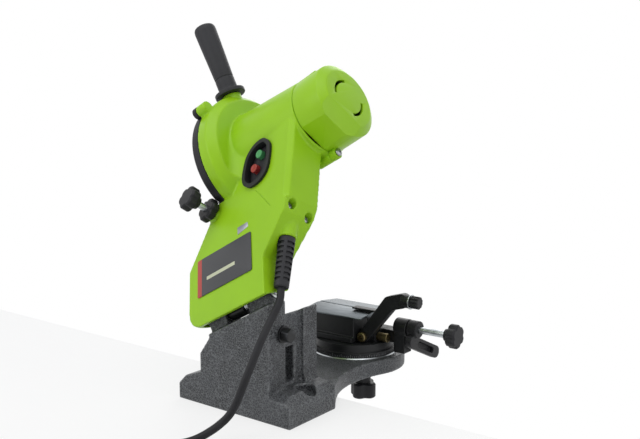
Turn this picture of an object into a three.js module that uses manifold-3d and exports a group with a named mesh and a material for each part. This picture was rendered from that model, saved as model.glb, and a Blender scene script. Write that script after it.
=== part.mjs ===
// Electric chainsaw sharpener: a grinding head that swings down on a slanted hinge over a chain vise.
// Millimetres, +Z up. X runs from the wheel side to the motor side, Y from the column to the vise.
// The origin is the middle of the foot's underside, where the foot sits on the edge of a bench.

import * as THREE from "three";
import Module from "manifold-3d";
import { mergeVertices } from "three/addons/utils/BufferGeometryUtils.js";

const wasm = await Module();
wasm.setup();

// Clearances
const fit = 0.3;
const over = 1;

// Angles, in degrees
const headTiltDeg = 27.8;
const headLeanDeg = 25.9;
const gussetSlopeDeg = 21;

// Cast foot, column and front lobe
const foot = {
  left: -80, right: 80, rear: -38, front: 39, top: 30, rightEdgeTop: 20, rightTopX: 70, rearEdgeTop: 25,
  rearTopY: -26, leftEdgeTop: 17.5, leftTopX: -69, leftTop: 28, leftRootTop: 36,
};
const column = {
  left: -46, right: 52.5, flangeFront: -10.5, towerRear: 18.8, towerFront: 42, waistX: -31.5, waistZ: 76.8,
  flareZ: 57, webLeft: 30, sideRecess: 4.5, coreWall: 6.5, coreTop: 62, filletX: 58, filletZ: 38,
};
const sidePocket = { left: 36, front: 8, bottom: 34, top: 72 };
const footPocket = { innerX: 13, outerX: 45, rear: -30, front: 31, depth: 14 };
const mountHole = { x: 65, y: 6, radius: 4.5, boreRadius: 11, boreDepth: 9 };
const lobe = { bottom: 8, top: 26, radius: 62, archFront: 56, archTop: 20, tangentDeg: 20, waistIn: 32, waistY: 90 };
const pivot = { x: 13, y: 169 };
const stopBracket = { left: -21, right: 3, front: 106, top: 82, tipBottom: 73, rootBottom: 46 };

// Hinge of the head, in the column's top
const hinge = { x: 10.9, y: -19, z: 116.6 };
const ear = {
  leftOuter: -56, leftInner: -28.5, rightInner: 6.5, rightOuter: 38.5, radius: 13, blockTop: -12,
  blockBottom: -46, towerTop: -24, rear: -19, front: 8,
};
const hingePin = {
  radius: 5, headRadius: 8, headThickness: 3.5, end: 41.8, clipRadius: 8, clipThickness: 1.6,
};
const barrel = { left: -28.1, right: -4, radius: 9.5, webFront: -4, webHalf: 6 };
const spring = { left: -2.6, right: 5.9, wire: 0.8, radius: 7.4, turns: 5, steps: 8, sides: 5 };

// Swing arm, measured from the hinge axis
const arm = {
  rear: -22, front: 23, footFront: 13, frontFullZ: 80, bottom: -12, left: -76, cornerRadius: 20, leftTopZ: 59,
  shoulderX: -41, shoulderZ: 104, neckX: -18, neckZ: 133, right: 46, rightLowZ: 31, flareX: 80, flareZ: 70,
  sideX: 86, sideZ: 84, topX: 103, topZ: 176, wall: 3.4, stripBack: 6, stripSide: 4,
};
const cover = { left: -66, right: 36, bottom: 18, top: 98, shoulder: -38, leftTop: 60, thickness: 2.6 };
const motor = {
  y: 20, z: 192.5, guardRadius: 52, stepRadius: 44.5, stepX: 104, startX: 8, wall: 3, capRadius: 43,
  capEndRadius: 38.4, capEndX: 147, capChamfer: 5, capWall: 3, slotRadius: 24, slotWidth: 3.4, slotSpanDeg: 100, slotFromDeg: 40,
};
const capEar = { radius: 6.3, length: 22, capLength: 8, headGap: 0.1, topDeg: -10, bottomDeg: 164 };
const capScrew = { radius: 2.3, headRadius: 4.2, headThickness: 3, depth: 9 };
const capEarReach = motor.stepRadius + capScrew.headRadius + capEar.headGap;

// Wheel guard and wheel
const wheel = { radius: 72.5, thickness: 3.2, left: -9.5, bore: 11.1, edge: 0.8 };
const wheelGap = 7.5;
const lugStand = 4.9;
const guard = {
  radius: wheel.radius + wheelGap, left: -13, right: 10, chamfer: 9, wall: 3, web: 4, coverLeft: -26,
  coverWall: 3, hub: 25, openDepth: 38, openDeg: 112, lugRadius: 7, lugDeg: -64, lugLength: 15, lugCover: -19,
};
const lugReach = guard.radius + lugStand;
const flange = { radius: 20, thickness: 3.4 };
const nut = { radius: 9.5, thickness: 6, sides: 6 };
const shaft = { radius: 6, left: -24, right: 129 };
const bearing = { radius: 14, width: 9, frontX: 10.6, rearX: 118, seatWall: 3.5 };
const stator = { radius: 42, inner: 24, left: 60.5, right: 90 };
const rotor = { radius: 22.5, left: 59, right: 90 };
const commutator = { radius: 12, left: 91.5, right: 106 };
const fan = { radius: 33, hub: 10, left: 21, thickness: 9, blades: 9, bladeThickness: 1.6 };
const brush = { side: 7, holderWall: 2, reach: 28.4, x: 98 };

// Handle on top of the guard
const handle = {
  x: -5, stand: 4, bossRadius: 12, bossTop: 8, flangeRadius: 18.5, flangeThickness: 5,
  neckRadius: 13, rootRadius: 11.6, endRadius: 13.4, seamZ: 22, seamDepth: 0.6, seamWidth: 1, length: 94,
  endRound: 4,
};

// Depth stop with its two star knobs, along a rod that passes through the arm
const depth = {
  x: -32, z: 111.2, slopeDeg: 11.5, bossRadius: 10, bossRear: -24, bossFront: 20, rodRadius: 4, rodFront: 58,
  rodRear: -60, lockKnobFrom: -24.5, lockKnobThickness: 10, knobFrom: -50.5,
};
const star = { radius: 14, thickness: 12, lobes: 6, notch: 3.4, notchReach: 15.4, hubRadius: 7,
  hubLength: 5, bore: 4.3 };

// Switch, label and cord gland on the arm's back
const bezel = {
  x: 42, z: 148, halfLength: 14.5, radius: 13.5, height: 3.5, sleeveRadius: 12.2, openRadius: 10.3,
  sleeveEnd: -13, tiltDeg: 32.3,
};
const button = { radius: 5, spread: 8.4, rear: -22.6, front: -13.4, travel: 2.5 };
const switchBox = { rear: -17, front: -5 };
const label = { left: -60, right: 30, bottom: 22, top: 67, thickness: 0.7 };
const gland = { x: 63, y: -2.1, z: 50, axis: [0.162, 0.062, 0.985], bossRadius: 10.3, bossBack: 18,
  bore: 6.6 };
const relief = {
  topRadius: 9, endRadius: 7.8, length: 55, insertRadius: 6.3, insert: 10, collar: 5, rings: 8,
  ringDepth: 1.3, slotShare: 0.45, spineHalf: 2.2,
};
const sideHole = { radius: 5.2, depth: 9, screwRadius: 4.4, screwHead: 4, driveRadius: 2, driveDepth: 1.6 };
const sideHoles = [[-11.3, 78.9], [14.2, 72.4]];
const guardScrew = { radius: 2.4, headRadius: 4.4, headThickness: 3, length: 9 };

// Side bolt of the column
const sideBolt = { y: -15.5, z: 89.7, radius: 7.5, thickness: 9, washerRadius: 9, washerThickness: 2,
  shank: 4 };

// Swivelling vise, measured from its pivot; its X and Y run with the part's
const turntable = { radius: 52, bottom: 26.3, lowerTop: 33, upperRadius: 49, top: 42 };
const pivotStud = { radius: 6, bottom: 9, top: 40 };
const lockStud = { radius: 4.5, reach: 20, slotDeg: 50, bottom: -40, top: 38 };
const viseBody = {
  left: -58, right: 21.5, rear: -33, front: -3.1, top: 72, ledge: 5, ledgeTop: 49, barRight: 40, barRear: -14,
};
const slimBar = { rear: -2, front: 8.2, top: 57 };
const lug = { left: 62, right: 77, halfWidth: 8, bottom: 33, top: 54, roundRadius: 10.5, roundRight: 79 };
const rail = {
  left: -53, right: 32.8, base: 72.3, edge: 77.4, edgeWidth: 4, outerTop: 73.8, outerY: 35.5,
};
const jaw = { left: -58, right: 21.5, rear: -0.9, front: 26, arm: 10.6, armRight: 60, armTop: 54 };
const lever = {
  left: 80, right: 93, hubRadius: 10.2, paddleLeft: 83, paddleRight: 90.5, startY: -9, startZ: 50,
  endY: 44, endZ: 26, halfWidth: 7.5, slotHalf: 3.6, slotFrom: 14, slotTo: 47, endRadius: 7.5,
};
const stopPin = { x: 29, z: 49.6, radius: 6, head: 4.6, rear: -29.2, shank: 4, front: -7 };
const stopArm = {
  rear: -24.3, front: -14.4, rootRadius: 7, elbowX: 65, elbowZ: 95, endX: 82, endZ: 100, halfWidth: 8.5,
};
const tongue = { left: 6, right: 54, rear: -14.1, front: -3.4, bottom: 78.5, top: 80.7 };
const stopBoss = { right: 91.5, radius: 7.8, y: -19.3, z: 100, bore: 3.4, boreFrom: 80 };
const thumbScrew = { left: 93.2, right: 104, radius: 7.4, grooves: 10, groove: 1, shank: 3, shankFrom: 81 };
const stopWasher = { left: 91.7, right: 92.9, radius: 8.6 };
const brass = { left: 40.6, right: 55, radius: 5.4, y: -8.2, z: 48.5 };
const adjust = { z: 63, rodRadius: 4, rodLeft: 58, rodRight: 131, knobFrom: 127 };
const underKnob = {
  radius: 17, thickness: 19, top: -23, lobes: 4, notch: 7, notchReach: 20, hubRadius: 9.5, hubTop: 7.7,
};

// Power cord: points chosen by hand along its free run, then a put-away coil and its plug
const cord = { radius: 4, sides: 8, steps: 18, gap: 0.3, lead: 14 };
const cordRoute = [
  [62.4, -45.6, 112], [63.9, -61.9, 95], [60.7, -80.5, 62], [51.6, -95, 27], [34, -119, 7.5], [21, -142, 4.2],
  [10.4, -166, 4.1], [4.8, -188, 4.1],
];
const coil = {
  x: 58.6, y: -228, floorZ: 4.1, middleRadius: 44, turns: 5.5, pitch: 8.7, rise: 8.7, sides: 6, steps: 24,
  straight: 8, tail: 46,
};
const plug = {
  halfWidth: 17.5, halfHeight: 12.4, bodyLength: 36, pinRadius: 2.4, pinLength: 19, pinSpread: 9.5,
  neckRadius: 6.5, neckLength: 16,
};

const rad = THREE.MathUtils.degToRad;
const tilt = rad(headTiltDeg);
const AXIS = { x: new THREE.Vector3(1, 0, 0), y: new THREE.Vector3(0, 1, 0), z: new THREE.Vector3(0, 0, 1) };

// A closed three.js geometry becomes a solid that can be joined and cut.
function solid(geometry) {
  geometry.deleteAttribute("normal");
  geometry.deleteAttribute("uv");
  const merged = mergeVertices(geometry, 1e-4);
  const vertProperties = Float32Array.from(merged.attributes.position.array);
  const triVerts = Uint32Array.from(merged.index.array);
  return new wasm.Manifold(new wasm.Mesh({ numProp: 3, vertProperties, triVerts }));
}

function join(...solids) {
  return solids.reduce((whole, next) => whole.add(next));
}

function cut(body, ...tools) {
  return tools.reduce((whole, next) => whole.subtract(next), body);
}

function box(x0, x1, y0, y1, z0, z1) {
  const geometry = new THREE.BoxGeometry(x1 - x0, y1 - y0, z1 - z0);
  return solid(geometry.translate((x0 + x1) / 2, (y0 + y1) / 2, (z0 + z1) / 2));
}

// Turns a geometry whose axis is +Z so that it runs along the named axis.
function along(geometry, axis) {
  if (axis === "x") geometry.rotateY(Math.PI / 2);
  if (axis === "y") geometry.rotateX(-Math.PI / 2);
  return geometry;
}

// A round piece from a profile of [radius, height] pairs, its axis along x, y or z through the given point.
function turned(profile, axis, at, segments) {
  const points = profile.map(([r, h]) => new THREE.Vector2(r, h));
  const geometry = new THREE.LatheGeometry(points, segments).rotateX(Math.PI / 2);
  if (axis === "y") geometry.rotateX(-Math.PI / 2);
  if (axis === "x") geometry.rotateY(Math.PI / 2);
  return solid(geometry.translate(at[0], at[1], at[2]));
}

function rod(radius, from, to, axis, at, segments = 16) {
  return turned([[0, from], [radius, from], [radius, to], [0, to]], axis, at, segments);
}

function ring(inner, outer, from, to, axis, at, segments = 24) {
  const profile = [[inner, from], [outer, from], [outer, to], [inner, to], [inner, from]];
  return turned(profile, axis, at, segments);
}

// An outline in two of the axes, pushed along the third from one place to another.
function plate(shape, plane, from, to, curveSegments = 8) {
  const geometry = new THREE.ExtrudeGeometry(shape, { depth: to - from, bevelEnabled: false, curveSegments });
  geometry.translate(0, 0, from);
  if (plane === "xz") geometry.applyMatrix4(new THREE.Matrix4().makeBasis(AXIS.x, AXIS.z, AXIS.y));
  if (plane === "yz") geometry.applyMatrix4(new THREE.Matrix4().makeBasis(AXIS.y, AXIS.z, AXIS.x));
  if (plane === "xz") flip(geometry);
  return solid(geometry);
}

// Swaps the turning sense of each triangle after a mirroring change of axes.
function flip(geometry) {
  const position = geometry.attributes.position;
  const a = new THREE.Vector3();
  const b = new THREE.Vector3();
  for (let i = 0; i < position.count; i += 3) {
    a.fromBufferAttribute(position, i + 1);
    b.fromBufferAttribute(position, i + 2);
    position.setXYZ(i + 1, b.x, b.y, b.z);
    position.setXYZ(i + 2, a.x, a.y, a.z);
  }
}

function outline(points) {
  return new THREE.Shape(points.map(([x, y]) => new THREE.Vector2(x, y)));
}

function moved(body, matrix) {
  return body.transform(matrix.elements);
}

const group = new THREE.Group();
const headTilt = new THREE.Group();
headTilt.position.set(hinge.x, hinge.y, hinge.z);
headTilt.rotation.y = -tilt;
const head = new THREE.Group();
head.rotation.x = -rad(headLeanDeg);
headTilt.add(head);
const vise = new THREE.Group();
vise.position.set(pivot.x, pivot.y, 0);
group.add(headTilt, vise);

const finishes = {
  castIron: { color: 0x4b4d50, roughness: 0.55, metalness: 0.4 },
  green: { color: 0x8cbc30, roughness: 0.38, metalness: 0 },
  black: { color: 0x2c2c2f, roughness: 0.6, metalness: 0 },
  zinc: { color: 0xc8cccc, roughness: 0.3, metalness: 0.9 },
  steel: { color: 0x9a9ea2, roughness: 0.35, metalness: 0.9 },
  darkSteel: { color: 0x26282a, roughness: 0.5, metalness: 0.5 },
  copper: { color: 0xb06a3a, roughness: 0.4, metalness: 0.8 },
  brass: { color: 0x9c8a52, roughness: 0.4, metalness: 0.8 },
  abrasive: { color: 0x9a4a3c, roughness: 0.95, metalness: 0 },
  buttonGreen: { color: 0x46965a, roughness: 0.4, metalness: 0 },
  buttonRed: { color: 0x9c3434, roughness: 0.4, metalness: 0 },
  labelDark: { color: 0x46464b, roughness: 0.45, metalness: 0 },
  silver: { color: 0xb8bcc6, roughness: 0.35, metalness: 0.5 },
};

function node(name, body, finish, parent = group) {
  const mesh = body.getMesh();
  const geometry = new THREE.BufferGeometry();
  const stride = mesh.numProp;
  const positions = new Float32Array((mesh.vertProperties.length / stride) * 3);
  for (let i = 0; i < positions.length / 3; i++) {
    positions.set(mesh.vertProperties.slice(i * stride, i * stride + 3), i * 3);
  }
  geometry.setAttribute("position", new THREE.BufferAttribute(positions, 3));
  geometry.setIndex(new THREE.BufferAttribute(Uint32Array.from(mesh.triVerts), 1));
  geometry.computeVertexNormals();
  const piece = new THREE.Mesh(geometry, new THREE.MeshStandardMaterial(finishes[finish]));
  piece.name = name;
  parent.add(piece);
  return piece;
}

// Casting

// A matrix from the tilted hinge frame, before the head leans, to the part's frame.
const hingeFrame = new THREE.Matrix4().makeRotationY(-tilt).setPosition(hinge.x, hinge.y, hinge.z);

function footSolid() {
  const shape = outline([
    [foot.left, 0], [foot.right, 0], [foot.right, foot.rightEdgeTop], [foot.rightTopX, foot.top],
    [column.left, foot.leftRootTop], [foot.leftTopX, foot.leftTop], [foot.left, foot.leftEdgeTop],
  ]);
  const slab = plate(shape, "xz", foot.rear, foot.front);
  const rearBevel = plate(outline([
    [foot.rear - over, foot.rearEdgeTop], [foot.rearTopY, foot.top], [foot.rearTopY, foot.top + foot.top],
    [foot.rear - over, foot.top + foot.top],
  ]), "yz", column.right - over, foot.right + over);
  return cut(slab, rearBevel);
}

// The sloped top of the column in the X-Z plane: the height of the tilted line at a given X.
function slopedTop(x, level) {
  const start = new THREE.Vector3(0, 0, level).applyMatrix4(hingeFrame);
  return start.z + (x - start.x) * Math.tan(tilt);
}

function columnSolid() {
  const flangeShape = outline([
    [column.left, over], [column.right, over], [column.right, slopedTop(column.right, ear.blockTop)],
    [column.waistX, slopedTop(column.waistX, ear.blockTop)], [column.waistX, column.waistZ],
    [column.left, column.flareZ],
  ]);
  const flangePlate = plate(flangeShape, "xz", foot.rear, column.flangeFront);
  const towerShape = outline([
    [column.left, over], [column.right, over], [column.right, slopedTop(column.right, ear.towerTop)],
    [column.waistX, slopedTop(column.waistX, ear.towerTop)], [column.left, column.flareZ],
  ]);
  const tower = plate(towerShape, "xz", column.towerRear, column.towerFront);
  const webRight = column.right - column.sideRecess;
  const web = plate(outline([
    [column.webLeft, over], [webRight, over], [webRight, slopedTop(webRight, ear.towerTop)],
    [column.webLeft, slopedTop(column.webLeft, ear.towerTop)],
  ]), "xz", column.flangeFront - over, column.towerRear + over);
  const fillet = plate(outline([
    [column.right - over, foot.top - over], [column.filletX, foot.top - over], [column.filletX, foot.top],
    [column.right, column.filletZ], [column.right - over, column.filletZ],
  ]), "xz", column.towerRear, foot.front);
  const pocket = box(sidePocket.left, column.right + over, column.flangeFront, sidePocket.front,
    sidePocket.bottom, sidePocket.top);
  return cut(join(flangePlate, tower, web, fillet), pocket);
}

function hingeBlock() {
  const block = box(ear.leftOuter, ear.rightOuter, ear.rear, ear.front, ear.blockBottom, ear.blockTop);
  const within = box(foot.left, column.right, foot.rear, foot.front, 0, hinge.z + foot.right);
  const parts = [];
  for (const [from, to] of [[ear.leftOuter, ear.leftInner], [ear.rightInner, ear.rightOuter]]) {
    parts.push(rod(ear.radius, from, to, "x", [0, 0, 0], 24));
    parts.push(box(from, to, -ear.radius, ear.front, ear.blockTop - over, 0));
  }
  return join(moved(block, hingeFrame).intersect(within), moved(join(...parts), hingeFrame));
}

function lobeSolid() {
  const shape = new THREE.Shape();
  const tangent = rad(lobe.tangentDeg);
  const reachX = lobe.radius * Math.cos(tangent);
  const startY = pivot.y - lobe.radius * Math.sin(tangent);
  shape.moveTo(foot.left, foot.front - over);
  shape.lineTo(foot.right, foot.front - over);
  shape.quadraticCurveTo(foot.right - lobe.waistIn, lobe.waistY, pivot.x + reachX, startY);
  shape.absarc(pivot.x, pivot.y, lobe.radius, -tangent, Math.PI + tangent, false);
  shape.quadraticCurveTo(foot.left + lobe.waistIn, lobe.waistY, foot.left, foot.front - over);
  const slab = plate(shape, "xy", lobe.bottom, lobe.top, 18);
  const within = plate(shape, "xy", -over, foot.top + over, 18);
  const arch = plate(outline([
    [foot.front - over, 0], [foot.front, 0], [(foot.front + lobe.archFront) / 2, lobe.bottom * 0.8],
    [lobe.archFront, lobe.bottom], [lobe.archFront, lobe.archTop], [foot.front - over, lobe.archTop],
  ]), "yz", foot.left, foot.right);
  const ramp = plate(outline([
    [foot.front - over, lobe.top - over], [lobe.archFront, lobe.top - over], [lobe.archFront, lobe.top],
    [foot.front, foot.top], [foot.front - over, foot.top],
  ]), "yz", column.left, foot.rightTopX);
  const pinHole = rod(pivotStud.radius + fit, pivotStud.bottom - fit, lobe.top + over, "z",
    [pivot.x, pivot.y, 0], 20);
  return cut(join(slab, arch, ramp).intersect(within), pinHole, arcSlot());
}

// The slot that the turntable's lock stud travels in.
function arcSlot() {
  const half = lockStud.radius + fit;
  const from = rad(90 - lockStud.slotDeg);
  const to = rad(90 + lockStud.slotDeg);
  const shape = new THREE.Shape();
  shape.absarc(pivot.x, pivot.y, lockStud.reach + half, from, to, false);
  shape.absarc(pivot.x, pivot.y, lockStud.reach - half, to, from, true);
  return plate(shape, "xy", lobe.bottom - over, lobe.top + over, 12);
}

function stopBracketSolid() {
  return plate(outline([
    [column.towerFront - over, stopBracket.rootBottom], [stopBracket.front, stopBracket.tipBottom],
    [stopBracket.front, stopBracket.top], [column.towerFront - over, stopBracket.top],
  ]), "yz", stopBracket.left, stopBracket.right);
}

function casting() {
  let body = join(footSolid(), columnSolid(), hingeBlock(), lobeSolid(), stopBracketSolid());
  const wall = column.coreWall;
  const tools = [
    box(-footPocket.outerX, -footPocket.innerX, footPocket.rear, footPocket.front, -over, footPocket.depth),
    box(footPocket.innerX, footPocket.outerX, footPocket.rear, footPocket.front, -over, footPocket.depth),
    box(column.waistX, -footPocket.innerX, foot.rear + wall, column.flangeFront - wall, 0, column.coreTop),
    box(footPocket.innerX, column.right - wall, foot.rear + wall, column.flangeFront - wall, 0,
      column.coreTop),
    box(column.waistX, -footPocket.innerX, column.towerRear + wall, column.towerFront - wall, 0,
      column.coreTop),
    box(footPocket.innerX, column.right - wall, column.towerRear + wall, column.towerFront - wall, 0,
      column.coreTop),
  ];
  for (const side of [-1, 1]) {
    const at = [side * mountHole.x, mountHole.y, 0];
    tools.push(rod(mountHole.radius, -over, foot.top + over, "z", at, 20));
    tools.push(rod(mountHole.boreRadius, foot.top - mountHole.boreDepth, foot.top + foot.top, "z", at, 24));
  }
  tools.push(rod(sideBolt.shank + fit, column.right - sideBolt.thickness * 2, column.right + over, "x",
    [0, sideBolt.y, sideBolt.z], 16));
  tools.push(moved(rod(hingePin.radius + fit, ear.leftOuter - over, ear.rightOuter + over, "x", [0, 0, 0],
    20),
    hingeFrame));
  body = cut(body, ...tools);
  return body;
}

node("base_casting", casting(), "castIron");

// Side bolt with its washer
const boltX = column.right + fit;
const washer = ring(sideBolt.shank + fit, sideBolt.washerRadius, boltX, boltX + sideBolt.washerThickness, "x",
  [0, sideBolt.y, sideBolt.z], 20);
node("side_bolt_washer", washer, "darkSteel");
const boltHeadX = boltX + sideBolt.washerThickness + fit;
const hexBolt = join(
  rod(sideBolt.radius, boltHeadX, boltHeadX + sideBolt.thickness, "x", [0, sideBolt.y, sideBolt.z], 6),
  rod(sideBolt.shank, column.right - sideBolt.thickness, boltHeadX + over, "x",
    [0, sideBolt.y, sideBolt.z], 16),
);
node("side_bolt", hexBolt, "darkSteel");

// Hinge pin with its head and clip
const pinBody = join(
  rod(hingePin.radius, ear.leftOuter - fit - over, hingePin.end, "x", [0, 0, 0], 20),
  rod(hingePin.headRadius, ear.leftOuter - fit - hingePin.headThickness, ear.leftOuter - fit, "x",
    [0, 0, 0], 20),
);
node("hinge_pin", pinBody, "steel", headTilt);
const clipX = ear.rightOuter + fit;
node("hinge_clip", ring(hingePin.radius + fit, hingePin.clipRadius, clipX, clipX + hingePin.clipThickness,
  "x",
  [0, 0, 0], 20), "steel", headTilt);

// Return spring round the hinge pin: one unbroken wire
function springSolid() {
  const turns = spring.turns;
  const steps = turns * spring.steps;
  class Helix extends THREE.Curve {
    getPoint(t, target = new THREE.Vector3()) {
      const angle = t * turns * 2 * Math.PI;
      const x = spring.left + spring.wire + (spring.right - spring.left - 2 * spring.wire) * t;
      return target.set(x, spring.radius * Math.cos(angle), spring.radius * Math.sin(angle));
    }
  }
  return sweep(new Helix(), spring.wire, spring.sides, steps, AXIS.x);
}

function meshed(positions, index) {
  const vertProperties = Float32Array.from(positions);
  return new wasm.Manifold(new wasm.Mesh({ numProp: 3, vertProperties, triVerts: Uint32Array.from(index) }));
}

// A round tube along a curve, with closed flat ends, its sections turned about a steady reference direction.
function sweep(curve, radius, sides, steps, reference) {
  const positions = [];
  const index = [];
  for (let i = 0; i <= steps; i++) {
    const t = i / steps;
    const centre = curve.getPoint(t);
    const tangent = curve.getTangent(t);
    const side = reference.clone().cross(tangent).normalize();
    const up = tangent.clone().cross(side).normalize();
    for (let k = 0; k < sides; k++) {
      const angle = (k / sides) * 2 * Math.PI;
      const point = centre.clone().addScaledVector(side, radius * Math.cos(angle));
      point.addScaledVector(up, radius * Math.sin(angle));
      positions.push(point.x, point.y, point.z);
    }
  }
  for (let i = 0; i < steps; i++) {
    for (let k = 0; k < sides; k++) {
      const a = i * sides + k;
      const b = i * sides + ((k + 1) % sides);
      index.push(a, b, a + sides, b, b + sides, a + sides);
    }
  }
  const last = steps * sides;
  for (let k = 1; k < sides - 1; k++) {
    index.push(0, k + 1, k);
    index.push(last, last + k, last + k + 1);
  }
  return meshed(positions, index);
}

node("return_spring", springSolid(), "zinc", head);

// Head casting: arm, motor tube and guard drum

function armShape(inset) {
  const a = arm;
  const shape = new THREE.Shape();
  const left = a.left + inset;
  const r = a.cornerRadius - inset;
  const bottom = a.bottom + inset;
  shape.moveTo(left + r, bottom);
  shape.lineTo(a.right - inset, bottom);
  shape.lineTo(a.right - inset, a.rightLowZ + inset / 2);
  shape.lineTo(a.flareX - inset, a.flareZ + inset / 2);
  shape.lineTo(a.sideX - inset, a.sideZ + inset / 2);
  shape.lineTo(a.topX - inset, a.topZ);
  shape.lineTo(a.topX - inset, motor.z - inset);
  shape.lineTo(a.neckX + inset, motor.z - inset);
  shape.lineTo(a.neckX + inset, a.neckZ);
  shape.lineTo(a.shoulderX + inset, a.shoulderZ);
  shape.lineTo(left, a.leftTopZ);
  shape.lineTo(left, bottom + r);
  shape.absarc(left + r, bottom + r, r, Math.PI, 1.5 * Math.PI, false);
  return shape;
}

function armSide(inset) {
  const a = arm;
  const slope = Math.tan(rad(gussetSlopeDeg));
  const rear = a.rear + inset;
  const top = motor.z + over;
  const low = inset > 0 ? a.bottom - over * 4 : a.bottom;
  return outline([
    [rear, low], [rear, top], [a.front - inset, top], [a.front - inset, a.frontFullZ],
    [a.footFront - inset, low + (a.footFront - inset - rear) * slope],
  ]);
}

function armBody(inset) {
  const face = plate(armShape(inset), "xz", arm.rear + inset, arm.front - inset, 6);
  const side = plate(armSide(inset), "yz", arm.left - over, arm.topX + over);
  return face.intersect(side);
}

// The wedge that takes a flat strip off the arm's back right edge, up to the motor tube.
function armStrip() {
  const a = arm;
  const rise = new THREE.Vector3(a.topX - a.sideX, 0, a.topZ - a.sideZ);
  const length = rise.length();
  rise.normalize();
  const across = new THREE.Vector3(rise.z, 0, -rise.x);
  const spare = a.stripSide / a.stripBack;
  const geometry = new THREE.ExtrudeGeometry(outline([
    [-a.stripBack - 1 / spare, -over], [over, -over], [over, a.stripSide + spare],
  ]), { depth: length, bevelEnabled: false });
  const basis = new THREE.Matrix4().makeBasis(across, AXIS.y, rise);
  return solid(geometry.applyMatrix4(basis.setPosition(a.sideX, a.rear, a.sideZ)));
}

const motorAt = [0, motor.y, motor.z];

function tube(inset) {
  const x0 = motor.startX;
  const x1 = motor.stepX;
  const r0 = motor.guardRadius - inset;
  const r1 = motor.stepRadius - inset;
  const from = inset > 0 ? x0 - over : x0;
  const to = inset > 0 ? x1 + over : x1;
  return turned([[0, from], [r0, from], [r1, to], [0, to]], "x", motorAt, 36);
}

// The wedge of the guard that is left open for the wheel, as a half space beyond a chord.
function guardOpening(from, to) {
  const size = guard.radius * 2;
  const tool = new THREE.BoxGeometry(to - from, size, size * 2);
  tool.translate((from + to) / 2, size / 2 + guard.openDepth, 0);
  tool.rotateX(-rad(guard.openDeg - 90));
  return solid(tool.translate(...motorAt));
}

function drumOuter() {
  return turned([
    [0, guard.left], [guard.radius, guard.left], [guard.radius, guard.right - guard.chamfer],
    [guard.radius - guard.chamfer, guard.right], [0, guard.right],
  ], "x", motorAt, 40);
}

function drumInner() {
  const r = guard.radius - guard.wall;
  const right = guard.right - guard.web;
  return turned([
    [0, guard.left - over], [r, guard.left - over], [r, right - guard.chamfer + guard.wall],
    [r - guard.chamfer + guard.wall, right], [0, right],
  ], "x", motorAt, 40);
}

function angled(deg, reach) {
  return [motor.y + reach * Math.sin(rad(deg)), motor.z + reach * Math.cos(rad(deg))];
}

function headCasting() {
  const drumFull = drumOuter();
  const cavity = drumInner();
  const hollow = join(armBody(arm.wall), tube(motor.wall));
  const leftOfDrum = rod(guard.radius + fit, arm.left, guard.left, "x", motorAt, 40);
  const shell = cut(join(cut(armBody(0), armStrip()), tube(0)), hollow, drumFull);
  const drum = cut(drumFull, cavity, guardOpening(guard.left - over, guard.right + over));
  const seat = ring(bearing.radius + fit, bearing.radius + bearing.seatWall, guard.right - over / 2,
    guard.right + bearing.width + over, "x", motorAt, 24);
  const [lugY, lugZ] = angled(guard.lugDeg, lugReach);
  const lug = cut(rod(guard.lugRadius, guard.left, guard.left + guard.lugLength, "x", [0, lugY, lugZ],
    16), cavity);
  const boss = cut(leaned(rod(handle.bossRadius, -handle.bossTop, 0, "z", [0, 0, 0], 20)), cavity);
  const depthBoss = depthTurned(rod(depth.bossRadius, depth.bossRear, depth.bossFront, "y", [0, 0, 0], 20));
  const cordBoss = glandTurned(rod(gland.bossRadius, 0, gland.bossBack, "z", [0, 0, 0], 20));
  const ears = capEars(motor.stepX - capEar.length, motor.stepX);
  const solids = [shell, drum, seat, lug, boss, depthBoss, cordBoss, cut(ears, tube(motor.wall))];
  const tools = [
    leftOfDrum,
    stadium(bezel.radius + fit, arm.rear - bezel.height - over * 4, arm.rear),
    glandTurned(rod(relief.topRadius + fit, -relief.collar * 3, 0, "z", [0, 0, 0], 20)),
    rod(shaft.radius + over * 2, guard.right - guard.web - over, guard.right + over, "x", motorAt, 24),
    rod(ear.radius + over * 2, ear.leftOuter - over * 4, ear.rightOuter + over * 4, "x", [0, 0, 0], 28),
    depthTurned(rod(depth.rodRadius + fit, depth.bossRear - over, depth.rodFront, "y", [0, 0, 0], 16)),
    glandTurned(rod(gland.bore, -over, gland.bossBack + over, "z", [0, 0, 0], 20)),
    coverOutline(0),
    stadium(bezel.sleeveRadius + fit, arm.rear - over, arm.rear + arm.wall + over),
    rod(guardScrew.radius + fit, guard.left - over, guard.left + guardScrew.length, "x", [0, lugY, lugZ], 12),
  ];
  for (const [y, z] of sideHoles) {
    const pocket = rod(sideHole.radius + over * 2, sideFaceX(z) - sideHole.depth - arm.wall, sideFaceX(z),
      "x",
      [0, y, z], 16);
    solids.push(pocket.intersect(armBody(0)));
    tools.push(rod(sideHole.radius, sideFaceX(z) - sideHole.depth, arm.topX, "x", [0, y, z], 16));
  }
  tools.push(capScrewHoles(motor.stepX - capScrew.depth, motor.stepX + over));
  return cut(join(...solids), ...tools);
}

// The X of the arm's right side face at a given height.
function sideFaceX(z) {
  const share = (z - arm.flareZ) / (arm.sideZ - arm.flareZ);
  return arm.flareX + (arm.sideX - arm.flareX) * share;
}

function capEars(from, to) {
  return join(...capEarPlaces().map(([y, z]) => rod(capEar.radius, from, to, "x", [0, y, z], 14)));
}

function capScrewHoles(from, to) {
  return join(...capEarPlaces().map(([y, z]) => rod(capScrew.radius + fit, from, to, "x", [0, y, z], 12)));
}

function capEarPlaces() {
  return [capEar.topDeg, capEar.bottomDeg].map((deg) => angled(deg, capEarReach));
}

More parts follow.
